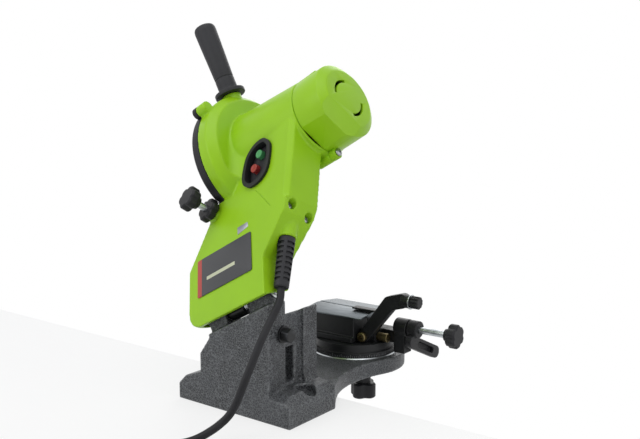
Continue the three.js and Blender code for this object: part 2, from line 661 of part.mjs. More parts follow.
// The opening in the arm's front, smaller all round by the given inset.
function coverOutline(inset) {
  const shape = outline([
    [cover.left + inset, cover.bottom + inset], [cover.right - inset, cover.bottom + inset],
    [cover.right - inset, cover.top - inset], [cover.shoulder + inset, cover.top - inset],
    [cover.left + inset, cover.leftTop - inset],
  ]);
  return plate(shape, "xz", arm.footFront - arm.wall - over, arm.front + over);
}

function leaned(body) {
  const lean = rad(headLeanDeg);
  const matrix = new THREE.Matrix4().makeRotationX(lean);
  const reach = guard.radius + handle.stand;
  matrix.setPosition(handle.x, motor.y - reach * Math.sin(lean), motor.z + reach * Math.cos(lean));
  return moved(body, matrix);
}

const depthFrame = new THREE.Matrix4().makeRotationX(-rad(depth.slopeDeg)).setPosition(depth.x, 0, depth.z);

function depthTurned(body) {
  return moved(body, depthFrame);
}

// The gland points down the arm and leans back; its own +Z is the way back up into the arm.
const glandAxis = new THREE.Vector3(...gland.axis).normalize();
const glandTurn = new THREE.Quaternion().setFromUnitVectors(AXIS.z, glandAxis);
const glandFrame = new THREE.Matrix4().makeRotationFromQuaternion(glandTurn).setPosition(gland.x, gland.y,
  gland.z);

function glandTurned(body) {
  return moved(body, glandFrame);
}

// A slanted stadium on the arm's back, pushed along Y.
function stadium(radius, from, to) {
  const shape = new THREE.Shape();
  shape.absarc(0, bezel.halfLength, radius, 0, Math.PI, false);
  shape.absarc(0, -bezel.halfLength, radius, Math.PI, 2 * Math.PI, false);
  const geometry = new THREE.ExtrudeGeometry(shape, { depth: to - from, bevelEnabled: false,
    curveSegments: 7 });
  geometry.rotateZ(-rad(bezel.tiltDeg));
  geometry.rotateX(Math.PI / 2);
  return solid(geometry.translate(bezel.x, to, bezel.z));
}

node("head_casting", headCasting(), "green", head);

const front = cut(armBody(0), armBody(cover.thickness)).intersect(coverOutline(fit));
node("arm_front_cover", front, "green", head);

function hingeBarrel() {
  const sleeve = rod(barrel.radius, barrel.left, barrel.right, "x", [0, 0, 0], 24);
  const web = box(barrel.left, barrel.right, arm.rear + arm.wall + fit, barrel.webFront, -barrel.webHalf,
    barrel.webHalf);
  return cut(join(sleeve, web), rod(hingePin.radius + fit, barrel.left - over, barrel.right + over, "x",
    [0, 0, 0], 20));
}

node("hinge_barrel", hingeBarrel(), "darkSteel", head);

// Motor cap with its bearing seat, cooling slots and ears
function motorCap() {
  const from = motor.stepX + fit;
  const { capRadius, capEndRadius, capEndX, capChamfer, capWall } = motor;
  const outer = turned([
    [0, from], [capRadius + over, from], [capRadius, capEndX - capChamfer], [capEndRadius, capEndX],
    [0, capEndX],
  ], "x", motorAt, 36);
  const inner = turned([
    [0, from - over], [capRadius + over - capWall, from - over], [capRadius - capWall, capEndX - capChamfer],
    [capEndRadius - capWall, capEndX - capWall], [0, capEndX - capWall],
  ], "x", motorAt, 36);
  const seat = ring(bearing.radius + fit, bearing.radius + bearing.seatWall, bearing.rearX - over,
    capEndX - over, "x", motorAt, 24);
  const slots = [slotRing(motor.slotFromDeg), slotRing(motor.slotFromDeg + 180)];
  const ears = cut(capEars(from, from + capEar.capLength), inner);
  return cut(join(cut(outer, inner), seat, ears), ...slots, capScrewHoles(from - over,
    from + capEar.capLength + over));
}

// One C-shaped cooling slot through the cap's end wall.
function slotRing(fromDeg) {
  const outer = motor.slotRadius + motor.slotWidth / 2;
  const inner = motor.slotRadius - motor.slotWidth / 2;
  const from = rad(fromDeg);
  const to = rad(fromDeg + motor.slotSpanDeg);
  const shape = new THREE.Shape();
  shape.absarc(motor.y, motor.z, outer, from, to, false);
  shape.absarc(motor.y, motor.z, inner, to, from, true);
  return plate(shape, "yz", motor.capEndX - motor.capWall - over, motor.capEndX + over, 10);
}

node("motor_cap", motorCap(), "green", head);

capEarPlaces().forEach(([y, z], i) => {
  const headFrom = motor.stepX + fit + capEar.capLength + fit;
  const screw = join(
    rod(capScrew.headRadius, headFrom, headFrom + capScrew.headThickness, "x", [0, y, z], 16),
    rod(capScrew.radius, motor.stepX - capScrew.depth + over, headFrom + over, "x", [0, y, z], 12),
  );
  const drive = crossCut(headFrom + capScrew.headThickness, y, z);
  node(`cap_screw_${i + 1}`, cut(screw, drive), "steel", head);
});

// A crossed recess in a screw's head that faces +X.
function crossCut(faceX, y, z) {
  const half = sideHole.driveRadius;
  const arm1 = box(faceX - sideHole.driveDepth, faceX + over, y - half, y + half, z - fit * 2, z + fit * 2);
  const arm2 = box(faceX - sideHole.driveDepth, faceX + over, y - fit * 2, y + fit * 2, z - half, z + half);
  return join(arm1, arm2);
}

sideHoles.forEach(([y, z], i) => {
  const from = sideFaceX(z) - sideHole.depth + fit;
  const screw = rod(sideHole.screwRadius, from, from + sideHole.screwHead, "x", [0, y, z], 16);
  node(`side_screw_${i + 1}`, cut(screw, crossCut(from + sideHole.screwHead, y, z)), "steel", head);
});

// Guard cover on the wheel's left side, with its screw
function guardCover() {
  const { coverLeft, coverWall, hub, radius } = guard;
  const right = guard.left - fit;
  const bowl = turned([
    [hub, coverLeft], [radius - coverWall, coverLeft], [radius, coverLeft + coverWall], [radius, right],
    [radius - coverWall, right], [radius - coverWall, coverLeft + coverWall], [hub, coverLeft + coverWall],
    [hub, coverLeft],
  ], "x", motorAt, 40);
  const [y, z] = angled(guard.lugDeg, lugReach);
  const cavity = rod(radius - coverWall, coverLeft + coverWall, right + over, "x", motorAt, 40);
  const lug = cut(rod(guard.lugRadius, guard.lugCover, right, "x", [0, y, z], 16), cavity);
  const hole = rod(guardScrew.radius + fit, guard.lugCover - over, right + over, "x", [0, y, z], 12);
  const knobFront = depth.lockKnobFrom + over;
  const knobRoom = depthTurned(rod(star.radius + fit * 2, knobFront - depth.lockKnobThickness - over * 2,
    knobFront, "y",
    [0, 0, 0], 24));
  return cut(join(bowl, lug), guardOpening(coverLeft - over, right + over), hole, knobRoom);
}

node("guard_cover", guardCover(), "black", head);

function guardScrewSolid() {
  const [y, z] = angled(guard.lugDeg, lugReach);
  const headTo = guard.lugCover - fit;
  return join(
    rod(guardScrew.headRadius, headTo - guardScrew.headThickness, headTo, "x", [0, y, z], 16),
    rod(guardScrew.radius, headTo - over, guard.left + guardScrew.length - over, "x", [0, y, z], 12),
  );
}

node("guard_screw", guardScrewSolid(), "steel", head);

// Handle
function handleSolid() {
  const h = handle;
  const profile = [
    [0, fit], [h.flangeRadius, fit], [h.flangeRadius, h.flangeThickness], [h.neckRadius, h.flangeThickness],
    [h.rootRadius, h.flangeThickness * 2], [h.rootRadius, h.seamZ], [h.rootRadius - h.seamDepth, h.seamZ],
    [h.rootRadius - h.seamDepth, h.seamZ + h.seamWidth], [h.rootRadius, h.seamZ + h.seamWidth],
    [h.endRadius, h.length - h.endRound], [h.endRadius - h.endRound / 3, h.length - h.endRound / 3],
    [h.endRadius - h.endRound, h.length], [0, h.length],
  ];
  return leaned(turned(profile, "z", [0, 0, 0], 24));
}

node("handle_grip", handleSolid(), "black", head);

// Switch with its two push buttons
const frame = cut(
  join(stadium(bezel.radius, arm.rear - bezel.height, arm.rear - fit),
    stadium(bezel.sleeveRadius, arm.rear - fit - over, bezel.sleeveEnd)),
  stadium(bezel.openRadius, arm.rear - bezel.height - over, bezel.sleeveEnd + over),
);
node("switch_bezel", frame, "black", head);

function buttonPlace(side) {
  const turn = rad(bezel.tiltDeg);
  return [bezel.x + side * button.spread * Math.sin(turn), bezel.z + side * button.spread * Math.cos(turn)];
}

function buttonRod(side, radius, from, to) {
  const [x, z] = buttonPlace(side);
  return rod(radius, from, to, "y", [x, 0, z], 24);
}

const wells = [-1, 1].map((side) => buttonRod(side, button.radius + fit, switchBox.rear - over,
  button.front + button.travel + fit));
node("switch_body", cut(stadium(bezel.openRadius - fit, switchBox.rear, switchBox.front), ...wells),
  "black", head);
node("button_on", buttonRod(1, button.radius, button.rear, button.front), "buttonGreen", head);
node("button_off", buttonRod(-1, button.radius, button.rear, button.front), "buttonRed", head);

const plateRear = arm.rear - fit - label.thickness;
node("label_plate", box(label.left, label.right, plateRear, arm.rear - fit, label.bottom, label.top),
  "labelDark", head);

// Strain relief of the cord: a tapered boot with grooves on both sides of a spine
function reliefSolid() {
  const r = relief;
  const outer = (t) => r.topRadius + (r.endRadius - r.topRadius) * (-t / r.length);
  const profile = [[0, -r.length], [r.endRadius, -r.length]];
  const step = (r.length - 2 * r.collar) / r.rings;
  for (let i = r.rings; i > 0; i--) {
    const low = -r.collar - i * step;
    const high = low + step * r.slotShare;
    profile.push([outer(low), low], [outer(low) - r.ringDepth, low], [outer(high) - r.ringDepth, high]);
    profile.push([outer(high), high]);
  }
  profile.push([r.topRadius, -fit], [r.insertRadius, -fit], [r.insertRadius, r.insert], [0, r.insert]);
  const boot = turned(profile, "z", [0, 0, 0], 14);
  const spine = new THREE.CylinderGeometry(r.topRadius, r.endRadius, r.length - fit, 14).rotateX(Math.PI / 2);
  spine.translate(0, 0, -(r.length + fit) / 2);
  const half = r.spineHalf;
  const band = join(box(-half, half, -r.topRadius, r.topRadius, -r.length, -fit),
    box(-r.topRadius, r.topRadius, -half, half, -r.length, -fit));
  return glandTurned(join(boot, solid(spine).intersect(band)));
}

node("strain_relief", reliefSolid(), "black", head);

// Depth stop
function starProfile(radius, lobes, notch, notchReach, from, to) {
  let body = rod(radius, from, to, "y", [0, 0, 0], 24);
  for (let i = 0; i < lobes; i++) {
    const angle = ((i + 0.5) / lobes) * 2 * Math.PI;
    const at = [notchReach * Math.cos(angle), 0, notchReach * Math.sin(angle)];
    body = cut(body, rod(notch, from - over, to + over, "y", at, 12));
  }
  return body;
}

function starKnob(from, thickness, hubTo, bore) {
  const lobed = starProfile(star.radius, star.lobes, star.notch, star.notchReach, from - thickness, from);
  const hub = hubTo > from ? join(lobed, rod(star.hubRadius, from - over, hubTo, "y", [0, 0, 0], 20)) : lobed;
  return cut(hub, rod(star.bore, bore, hubTo + over, "y", [0, 0, 0], 16));
}

const lockFrom = depth.lockKnobFrom;
const lockKnob = starKnob(lockFrom, depth.lockKnobThickness, lockFrom,
  lockFrom - depth.lockKnobThickness - over);
node("depth_lock_knob", depthTurned(lockKnob), "black", head);
node("depth_rod", depthTurned(rod(depth.rodRadius, depth.rodRear, depth.rodFront, "y", [0, 0, 0], 16)),
  "zinc", head);
const outerKnob = starKnob(depth.knobFrom, star.thickness, depth.knobFrom + star.hubLength,
  depth.rodRear - fit);
node("depth_knob", depthTurned(outerKnob), "black", head);

// Motor inside the tube
const bearingShape = (from) => ring(shaft.radius + fit, bearing.radius, from, from + bearing.width, "x",
  motorAt, 24);
node("front_bearing", bearingShape(bearing.frontX), "steel", head);
node("rear_bearing", bearingShape(bearing.rearX), "steel", head);
const statorShape = ring(stator.inner, stator.radius, stator.left, stator.right, "x", motorAt, 32);
node("stator_core", statorShape, "steel", head);

for (const [i, side] of [-1, 1].entries()) {
  const half = brush.side / 2 + brush.holderWall;
  const inner = commutator.radius + fit;
  const outer = commutator.radius + brush.reach;
  const y0 = motor.y + Math.min(side * inner, side * outer);
  const y1 = motor.y + Math.max(side * inner, side * outer);
  node(`brush_holder_${i + 1}`, box(brush.x - half, brush.x + half, y0, y1, motor.z - half,
    motor.z + half), "brass",
    head);
}

// Spindle: everything that turns with the motor's shaft
node("motor_shaft", rod(shaft.radius, shaft.left, shaft.right, "x", motorAt, 20), "steel", head);
node("rotor_core", ring(shaft.radius + fit, rotor.radius, rotor.left, rotor.right, "x", motorAt, 24),
  "copper", head);
const commutatorShape = ring(shaft.radius + fit, commutator.radius, commutator.left, commutator.right,
  "x", motorAt, 24);
node("commutator", commutatorShape, "copper", head);

function fanSolid() {
  const right = fan.left + fan.thickness;
  let body = rod(fan.hub, fan.left, right, "x", motorAt, 20);
  body = join(body, rod(fan.radius, right - fan.bladeThickness, right, "x", motorAt, 24));
  for (let i = 0; i < fan.blades; i++) {
    const half = fan.bladeThickness / 2;
    const blade = new THREE.BoxGeometry(fan.thickness, 2 * half, fan.radius - fan.hub);
    blade.translate(fan.left + fan.thickness / 2, 0, (fan.radius + fan.hub) / 2 - half);
    blade.rotateX((i / fan.blades) * 2 * Math.PI);
    body = join(body, solid(blade.translate(...motorAt)));
  }
  return cut(body, rod(shaft.radius + fit, fan.left - over, right + over, "x", motorAt, 20));
}

node("cooling_fan", fanSolid(), "black", head);

const wheelRight = wheel.left + wheel.thickness;
const wheelProfile = [
  [wheel.bore, wheel.left], [wheel.radius, wheel.left], [wheel.radius, wheelRight - wheel.edge],
  [wheel.radius - wheel.edge, wheelRight], [wheel.bore, wheelRight], [wheel.bore, wheel.left],
];
node("grinding_wheel", turned(wheelProfile, "x", motorAt, 40), "abrasive", head);

function flangeSolid(from, to, shoulder) {
  const disc = ring(shaft.radius + fit, flange.radius, from, to, "x", motorAt, 24);
  if (!shoulder) return disc;
  return join(disc, ring(shaft.radius + fit, wheel.bore - fit, from - wheel.thickness + over, from + over,
    "x",
    motorAt, 24));
}

const innerFrom = wheelRight + fit;
const outerTo = wheel.left - fit;
node("inner_flange", flangeSolid(innerFrom, innerFrom + flange.thickness, true), "steel", head);
node("outer_flange", flangeSolid(outerTo - flange.thickness, outerTo, false), "steel", head);
const nutTo = outerTo - flange.thickness - fit;
const nutBody = rod(nut.radius, nutTo - nut.thickness, nutTo, "x", motorAt, nut.sides);
node("wheel_nut", cut(nutBody, rod(shaft.radius + fit, nutTo - nut.thickness - over, nutTo + over, "x",
  motorAt, 20)),
  "steel", head);

// Turntable with its pivot, lock stud and lock knob
function turntableSolid() {
  const t = turntable;
  const disc = turned([
    [0, t.bottom], [t.radius, t.bottom], [t.radius, t.lowerTop], [t.upperRadius, t.lowerTop],
    [t.upperRadius, t.top],
    [0, t.top],
  ], "z", [0, 0, 0], 40);
  const pinHole = rod(pivotStud.radius + fit, t.bottom - over, pivotStud.top + fit, "z", [0, 0, 0], 20);
  const studHole = rod(lockStud.radius + fit, t.bottom - over, lockStud.top + fit, "z",
    [0, lockStud.reach, 0], 16);
  return cut(disc, pinHole, studHole);
}

node("turntable_disc", turntableSolid(), "darkSteel", vise);
node("pivot_stud", rod(pivotStud.radius, pivotStud.bottom, pivotStud.top, "z", [0, 0, 0], 20), "steel", vise);
node("lock_stud", rod(lockStud.radius, lockStud.bottom, lockStud.top, "z", [0, lockStud.reach, 0], 16),
  "zinc", vise);

function underKnobSolid() {
  const k = underKnob;
  let body = rod(k.radius, k.top - k.thickness, k.top, "z", [0, 0, 0], 24);
  for (let i = 0; i < k.lobes; i++) {
    const angle = ((i + 0.5) / k.lobes) * 2 * Math.PI;
    const at = [k.notchReach * Math.cos(angle), k.notchReach * Math.sin(angle), 0];
    body = cut(body, rod(k.notch, k.top - k.thickness - over, k.top + over, "z", at, 16));
  }
  body = join(body, rod(k.hubRadius, k.top - over, k.hubTop, "z", [0, 0, 0], 24));
  body = cut(body, rod(lockStud.radius + fit, lockStud.bottom - fit, k.hubTop + over, "z", [0, 0, 0], 16));
  return body.translate([0, lockStud.reach, 0]);
}

node("turntable_lock_knob", underKnobSolid(), "black", vise);

// Vise: fixed side
function viseBodySolid() {
  const v = viseBody;
  const floor = turntable.top + fit;
  const block = box(v.left, v.right, v.rear, v.front, floor, v.top);
  const ledge = box(v.left, v.right, v.rear - v.ledge, v.rear + over, floor, v.ledgeTop);
  const wideBar = box(v.right - over, v.barRight, v.barRear, slimBar.front, floor, slimBar.top);
  const bar = box(v.barRight - over, lug.left + over, slimBar.rear, slimBar.front, floor, slimBar.top);
  const lugBlock = box(lug.left, lug.right, -lug.halfWidth, lug.halfWidth, lug.bottom, adjust.z);
  const round = rod(lug.roundRadius, lug.left, lug.roundRight, "x", [0, 0, adjust.z], 28);
  const tools = [
    rod(adjust.rodRadius + fit, lug.left - over, lug.roundRight + over, "x", [0, 0, adjust.z], 20),
    rod(stopPin.shank + fit, v.barRear - over, stopPin.front + fit, "y", [stopPin.x, 0, stopPin.z], 16),
  ];
  return cut(join(block, ledge, wideBar, bar, lugBlock, round), ...tools);
}

node("vise_body", viseBodySolid(), "black", vise);

// A steel rail that rises towards the slot; side +1 is the moving one.
function railShape(slotY, side) {
  const r = rail;
  const bottom = r.base;
  const shape = outline([
    [slotY, bottom], [slotY, r.edge], [slotY + side * r.edgeWidth, r.edge], [side * r.outerY, r.outerTop],
    [side * r.outerY, bottom],
  ]);
  return plate(shape, "yz", r.left, r.right);
}

node("rear_rail", railShape(viseBody.front, -1), "zinc", vise);

// Vise: moving side
function movingJawSolid() {
  const floor = turntable.top + fit;
  const block = box(jaw.left, jaw.right, jaw.rear, jaw.front, floor, viseBody.top);
  const reach = box(jaw.right - over, jaw.armRight, jaw.arm, jaw.front, floor, jaw.armTop);
  const clear = box(jaw.right - over, viseBody.barRight + over, jaw.rear - over, jaw.arm, floor - over,
    viseBody.top + over);
  return cut(join(block, reach), clear);
}

node("moving_jaw", movingJawSolid(), "black", vise);
node("front_rail", railShape(jaw.rear, 1), "zinc", vise);

// Clamp lever: a hub on the adjusting rod's line, with a hollow paddle that hangs down to the front
function leverSolid() {
  const v = lever;
  const dy = v.endY - v.startY;
  const dz = v.endZ - v.startZ;
  const reach = Math.hypot(dy, dz);
  const shape = new THREE.Shape();
  shape.absarc(0, 0, v.halfWidth, Math.PI / 2, 1.5 * Math.PI, false);
  shape.absarc(reach, 0, v.endRadius, 1.5 * Math.PI, 2.5 * Math.PI, false);
  const slot = new THREE.Shape();
  slot.absarc(v.slotFrom, 0, v.slotHalf, Math.PI / 2, 1.5 * Math.PI, false);
  slot.absarc(v.slotTo, 0, v.slotHalf, 1.5 * Math.PI, 2.5 * Math.PI, false);
  const turn = new THREE.Matrix4().makeRotationX(Math.atan2(dz, dy)).setPosition(0, v.startY, v.startZ);
  const solidPaddle = plate(shape, "yz", v.paddleLeft, v.paddleRight);
  const hole = plate(slot, "yz", v.paddleLeft - over, v.paddleRight + over);
  const paddle = moved(cut(solidPaddle, hole), turn);
  const hub = rod(v.hubRadius, v.left, v.right, "x", [0, 0, adjust.z], 28);
  return cut(join(hub, paddle), rod(adjust.rodRadius + fit, v.left - over, v.right + over, "x",
    [0, 0, adjust.z], 20));
}

node("clamp_lever", leverSolid(), "black", vise);

// Chain stop: swinging arm, its pin, tongue and thumb screw
function stopArmSolid() {
  const a = stopArm;
  const knots = [
    { x: stopPin.x, z: stopPin.z, half: a.rootRadius }, { x: a.elbowX, z: a.elbowZ, half: a.halfWidth },
    { x: a.endX, z: a.endZ, half: a.halfWidth },
  ];
  const parts = knots.map((k) => rod(k.half, a.rear, a.front, "y", [k.x, 0, k.z], 20));
  for (let i = 0; i < knots.length - 1; i++) {
    const p = knots[i];
    const q = knots[i + 1];
    const reach = Math.hypot(q.x - p.x, q.z - p.z);
    const nx = -(q.z - p.z) / reach;
    const nz = (q.x - p.x) / reach;
    parts.push(plate(outline([
      [p.x - nx * p.half, p.z - nz * p.half], [q.x - nx * q.half, q.z - nz * q.half],
      [q.x + nx * q.half, q.z + nz * q.half], [p.x + nx * p.half, p.z + nz * p.half],
    ]), "xz", a.rear, a.front));
  }
  parts.push(rod(stopBoss.radius, a.endX, stopBoss.right, "x", [0, stopBoss.y, stopBoss.z], 24));
  const bores = [
    rod(stopPin.shank + fit, a.rear - over, a.front + over, "y", [stopPin.x, 0, stopPin.z], 20),
    rod(stopBoss.bore, stopBoss.boreFrom, stopBoss.right + over, "x", [0, stopBoss.y, stopBoss.z], 16),
  ];
  return cut(join(...parts), ...bores);
}

node("stop_arm", stopArmSolid(), "black", vise);
const tongueShape = box(tongue.left, tongue.right, tongue.rear, tongue.front, tongue.bottom, tongue.top);
node("stop_tongue", tongueShape, "darkSteel", vise);

const pinShape = join(
  rod(stopPin.radius, stopPin.rear, stopPin.rear + stopPin.head, "y", [stopPin.x, 0, stopPin.z], 24),
  rod(stopPin.shank, stopPin.rear + over, stopPin.front, "y", [stopPin.x, 0, stopPin.z], 20),
);
node("stop_pivot_pin", pinShape, "brass", vise);

function thumbScrewSolid() {
  const t = thumbScrew;
  const at = [0, stopBoss.y, stopBoss.z];
  let body = rod(t.radius, t.left, t.right, "x", at, 30);
  for (let i = 0; i < t.grooves; i++) {
    const angle = (i / t.grooves) * 2 * Math.PI;
    const grooveAt = [0, stopBoss.y + t.radius * Math.cos(angle), stopBoss.z + t.radius * Math.sin(angle)];
    body = cut(body, rod(t.groove, t.left - over, t.right + over, "x", grooveAt, 6));
  }
  return join(body, rod(t.shank, t.shankFrom, t.left + over, "x", at, 16));
}

node("stop_thumb_screw", thumbScrewSolid(), "black", vise);
const washerAt = [0, stopBoss.y, stopBoss.z];
node("stop_washer", ring(thumbScrew.shank + fit, stopWasher.radius, stopWasher.left, stopWasher.right,
  "x", washerAt, 24),
  "silver", vise);
node("brass_bush", rod(brass.radius, brass.left, brass.right, "x", [0, brass.y, brass.z], 24), "brass", vise);

// Adjusting rod with its star knob
node("adjust_rod", rod(adjust.rodRadius, adjust.rodLeft, adjust.rodRight, "x", [0, 0, adjust.z], 20),
  "zinc", vise);

function adjustKnob() {
  const turn = new THREE.Matrix4().makeRotationZ(Math.PI / 2).setPosition(adjust.knobFrom + star.hubLength, 0, adjust.z);
  const knob = starKnob(0, star.thickness, star.hubLength,
    adjust.knobFrom + star.hubLength - adjust.rodRight - fit);
  return moved(knob, turn);
}

node("adjust_knob", adjustKnob(), "black", vise);

// Power cord, coil and plug
class CoilCurve extends THREE.Curve {
  // Winds in on the lower layer, climbs in the half turn where it reverses, and winds out on the upper one.
  getPoint(t, target = new THREE.Vector3()) {
    const turnsDone = t * coil.turns;
    const half = coil.turns / 2;
    const wound = turnsDone < half ? turnsDone : coil.turns - turnsDone;
    const outer = coil.middleRadius + (coil.pitch * half) / 2;
    const radius = outer - coil.pitch * wound;
    const climbed = THREE.MathUtils.clamp((turnsDone - half) / (1 / 2) + 1 / 2, 0, 1);
    const height = coil.floorZ + coil.rise * THREE.MathUtils.smoothstep(climbed, 0, 1);
    const angle = Math.PI + turnsDone * 2 * Math.PI;
    return target.set(coil.x + radius * Math.cos(angle), coil.y + radius * Math.sin(angle), height);
  }
}

// The coil with a straight lead-in and lead-out, each one cord diameter long.
function coilPath() {
  const curve = new CoilCurve();
  const steps = Math.round(coil.turns * coil.steps);
  const points = [];
  for (let i = 0; i <= steps; i++) {
    points.push(curve.getPoint(i / steps));
  }
  const first = curve.getTangent(0).negate().setZ(0).normalize();
  const last = curve.getTangent(1).setZ(0).normalize();
  points.unshift(points[0].clone().addScaledVector(first, coil.straight));
  points.push(points[steps + 1].clone().addScaledVector(last, coil.tail));
  return points;
}

function tubeAlong(points, radius, sides) {
  const positions = [];
  const index = [];
  points.forEach((centre, i) => {
    const before = points[Math.max(i - 1, 0)];
    const after = points[Math.min(i + 1, points.length - 1)];
    const tangent = after.clone().sub(before).normalize();
    const side = AXIS.z.clone().cross(tangent).normalize();
    const up = tangent.clone().cross(side);
    for (let k = 0; k < sides; k++) {
      const angle = (k / sides) * 2 * Math.PI;
      const point = centre.clone().addScaledVector(side, radius * Math.cos(angle));
      point.addScaledVector(up, radius * Math.sin(angle));
      positions.push(point.x, point.y, point.z);
    }
  });
  for (let i = 0; i < points.length - 1; i++) {
    for (let k = 0; k < sides; k++) {
      const a = i * sides + k;
      const b = i * sides + ((k + 1) % sides);
      index.push(a, b, a + sides, b, b + sides, a + sides);
    }
  }
  const last = (points.length - 1) * sides;
  for (let k = 1; k < sides - 1; k++) {
    index.push(0, k + 1, k);
    index.push(last, last + k, last + k + 1);
  }
  return meshed(positions, index);
}

// The least gap between turns of a tube, measured between points of its middle line that lie apart along it.
function leastGap(points, radius, apart) {
  let least = Infinity;
  const curve = new THREE.CatmullRomCurve3(points);
  const places = curve.getSpacedPoints(points.length * 3);
  const step = curve.getLength() / (places.length - 1);
  const skip = Math.ceil(apart / step);
  for (let i = 0; i < places.length; i++) {
    for (let j = i + skip; j < places.length; j++) {
      least = Math.min(least, places[i].distanceTo(places[j]) - 2 * radius);
    }
  }
  return least;
}

const coilPoints = coilPath();
node("cord_coil", tubeAlong(coilPoints, cord.radius, coil.sides), "black");
console.log("least gap of the coil to itself, mm:", leastGap(coilPoints, cord.radius, coil.middleRadius * 2));

function cordPath() {
  group.updateMatrixWorld(true);
  const exit = new THREE.Vector3(0, 0,
    -relief.length).applyMatrix4(glandFrame).applyMatrix4(head.matrixWorld);
  const back = new THREE.Vector3(0, 0, 0).applyMatrix4(glandFrame).applyMatrix4(head.matrixWorld);
  const out = exit.clone().sub(back).normalize();
  const end = coilPoints[0];
  const lead = coilPoints[0].clone().sub(coilPoints[1]).normalize();
  return [
    exit.clone().addScaledVector(out, cord.gap),
    exit.clone().addScaledVector(out, cord.lead),
    ...cordRoute.map((place) => new THREE.Vector3(...place)),
    end.clone().addScaledVector(lead, cord.lead),
    end.clone().addScaledVector(lead, cord.gap),
  ];
}

const cordPoints = cordPath();
const cordCurve = new THREE.CatmullRomCurve3(cordPoints);

function cordSection() {
  const points = [];
  for (let k = 0; k < cord.sides; k++) {
    const angle = (k / cord.sides) * 2 * Math.PI;
    points.push([cord.radius * Math.cos(angle), cord.radius * Math.sin(angle)]);
  }
  return outline(points);
}

const cordTube = new THREE.ExtrudeGeometry(cordSection(), { steps: cord.steps, extrudePath: cordCurve });
node("power_cord", solid(cordTube), "black");
const coilLength = new THREE.CatmullRomCurve3(coilPoints).getLength();
console.log("cord length, mm:", cordCurve.getLength() + coilLength);

// The plug lies beside the coil, its flat side on the bench.
function plugSolid() {
  const p = plug;
  const last = coilPoints.length - 1;
  const start = coilPoints[last];
  const ahead = start.clone().sub(coilPoints[last - 1]).normalize();
  const shape = new THREE.Shape();
  shape.absellipse(0, 0, p.halfWidth, p.halfHeight, 0, 2 * Math.PI, false);
  const body = new THREE.ExtrudeGeometry(shape, { depth: p.bodyLength, bevelEnabled: false,
    curveSegments: 12 });
  const neck = new THREE.CylinderGeometry(p.neckRadius + over, p.neckRadius - over, p.neckLength + over, 20);
  neck.rotateX(Math.PI / 2).translate(0, 0, (p.neckLength + over) / 2);
  const parts = [solid(body.translate(0, 0, p.neckLength)), solid(neck)];
  for (const side of [-1, 1]) {
    parts.push(rod(p.pinRadius, p.neckLength + p.bodyLength - over,
      p.neckLength + p.bodyLength + p.pinLength, "z",
      [side * p.pinSpread, 0, 0], 12));
  }
  const basis = new THREE.Matrix4().makeBasis(AXIS.z.clone().cross(ahead).negate(),
    AXIS.z.clone().negate(), ahead);
  const place = start.clone().addScaledVector(ahead, cord.gap);
  return moved(join(...parts), basis.setPosition(place));
}

node("plug", plugSolid(), "black");

export default group;
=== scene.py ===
# %% [markdown]
# # An electric chainsaw sharpener
# A swing head with a motor, a guarded grinding wheel and a hand grip leans over a cast base.
# On the base's round lobe a swivelling vise holds the saw chain, with a stop arm, a clamp lever and an
# adjusting screw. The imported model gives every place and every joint. These cells give it its looks.

# %% Frame and tools
import math

import bmesh
import bpy
from mathutils import Matrix, Vector


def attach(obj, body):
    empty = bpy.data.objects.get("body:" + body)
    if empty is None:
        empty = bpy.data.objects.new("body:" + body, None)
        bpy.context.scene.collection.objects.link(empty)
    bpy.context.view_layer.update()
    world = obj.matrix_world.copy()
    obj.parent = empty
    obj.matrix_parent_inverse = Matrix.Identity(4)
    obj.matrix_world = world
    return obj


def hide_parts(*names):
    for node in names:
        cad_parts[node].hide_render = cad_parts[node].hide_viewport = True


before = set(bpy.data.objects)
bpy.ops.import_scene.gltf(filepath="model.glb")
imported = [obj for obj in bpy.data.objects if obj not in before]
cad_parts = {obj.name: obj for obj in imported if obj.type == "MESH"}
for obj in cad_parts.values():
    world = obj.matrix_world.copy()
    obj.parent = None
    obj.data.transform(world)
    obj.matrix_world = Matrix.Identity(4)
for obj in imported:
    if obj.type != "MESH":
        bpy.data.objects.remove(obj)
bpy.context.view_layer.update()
scene = bpy.context.scene

# %% [markdown]
# The real head leans twice, sideways on its hinge and back towards the user. It could be modelled upright
# and turned later, but every piece has to sit unturned at the origin. So each piece is built from numbers
# in millimetres, measured in the place it belongs to, and one matrix carries its mesh into the model.

# %% Places on the machine
MM = 0.001
HINGE = (10.9, -19.0, 116.6)  # a point on the hinge's axis
TILT = math.radians(27.8)  # the head's sideways lean
LEAN = math.radians(25.9)  # its lean back towards the user
MOTOR_Y, MOTOR_Z = 20.0, 192.5  # the shaft, in the head's own frame


def place(base, x=0.0, y=0.0, z=0.0, axis="z"):
    """A spot in a frame, in millimetres, whose own +Z runs along the named axis."""
    turn = {"x": Matrix.Rotation(math.pi / 2, 4, "Y"), "y": Matrix.Rotation(-math.pi / 2, 4, "X"),
            "z": Matrix.Identity(4)}[axis]
    return base @ Matrix.Translation(Vector((x, y, z)) * MM) @ turn


ORIGIN = Matrix.Identity(4)
TILTED = place(ORIGIN, *HINGE) @ Matrix.Rotation(-TILT, 4, "Y")
HEAD = TILTED @ Matrix.Rotation(-LEAN, 4, "X")
VISE = place(ORIGIN, 13, 169)  # the axis that the turntable turns on
MOTOR = place(HEAD, 0, MOTOR_Y, MOTOR_Z, "x")
DEPTH_LINE = place(HEAD, -32, 0, 111.2) @ Matrix.Rotation(-math.radians(11.5), 4, "X")
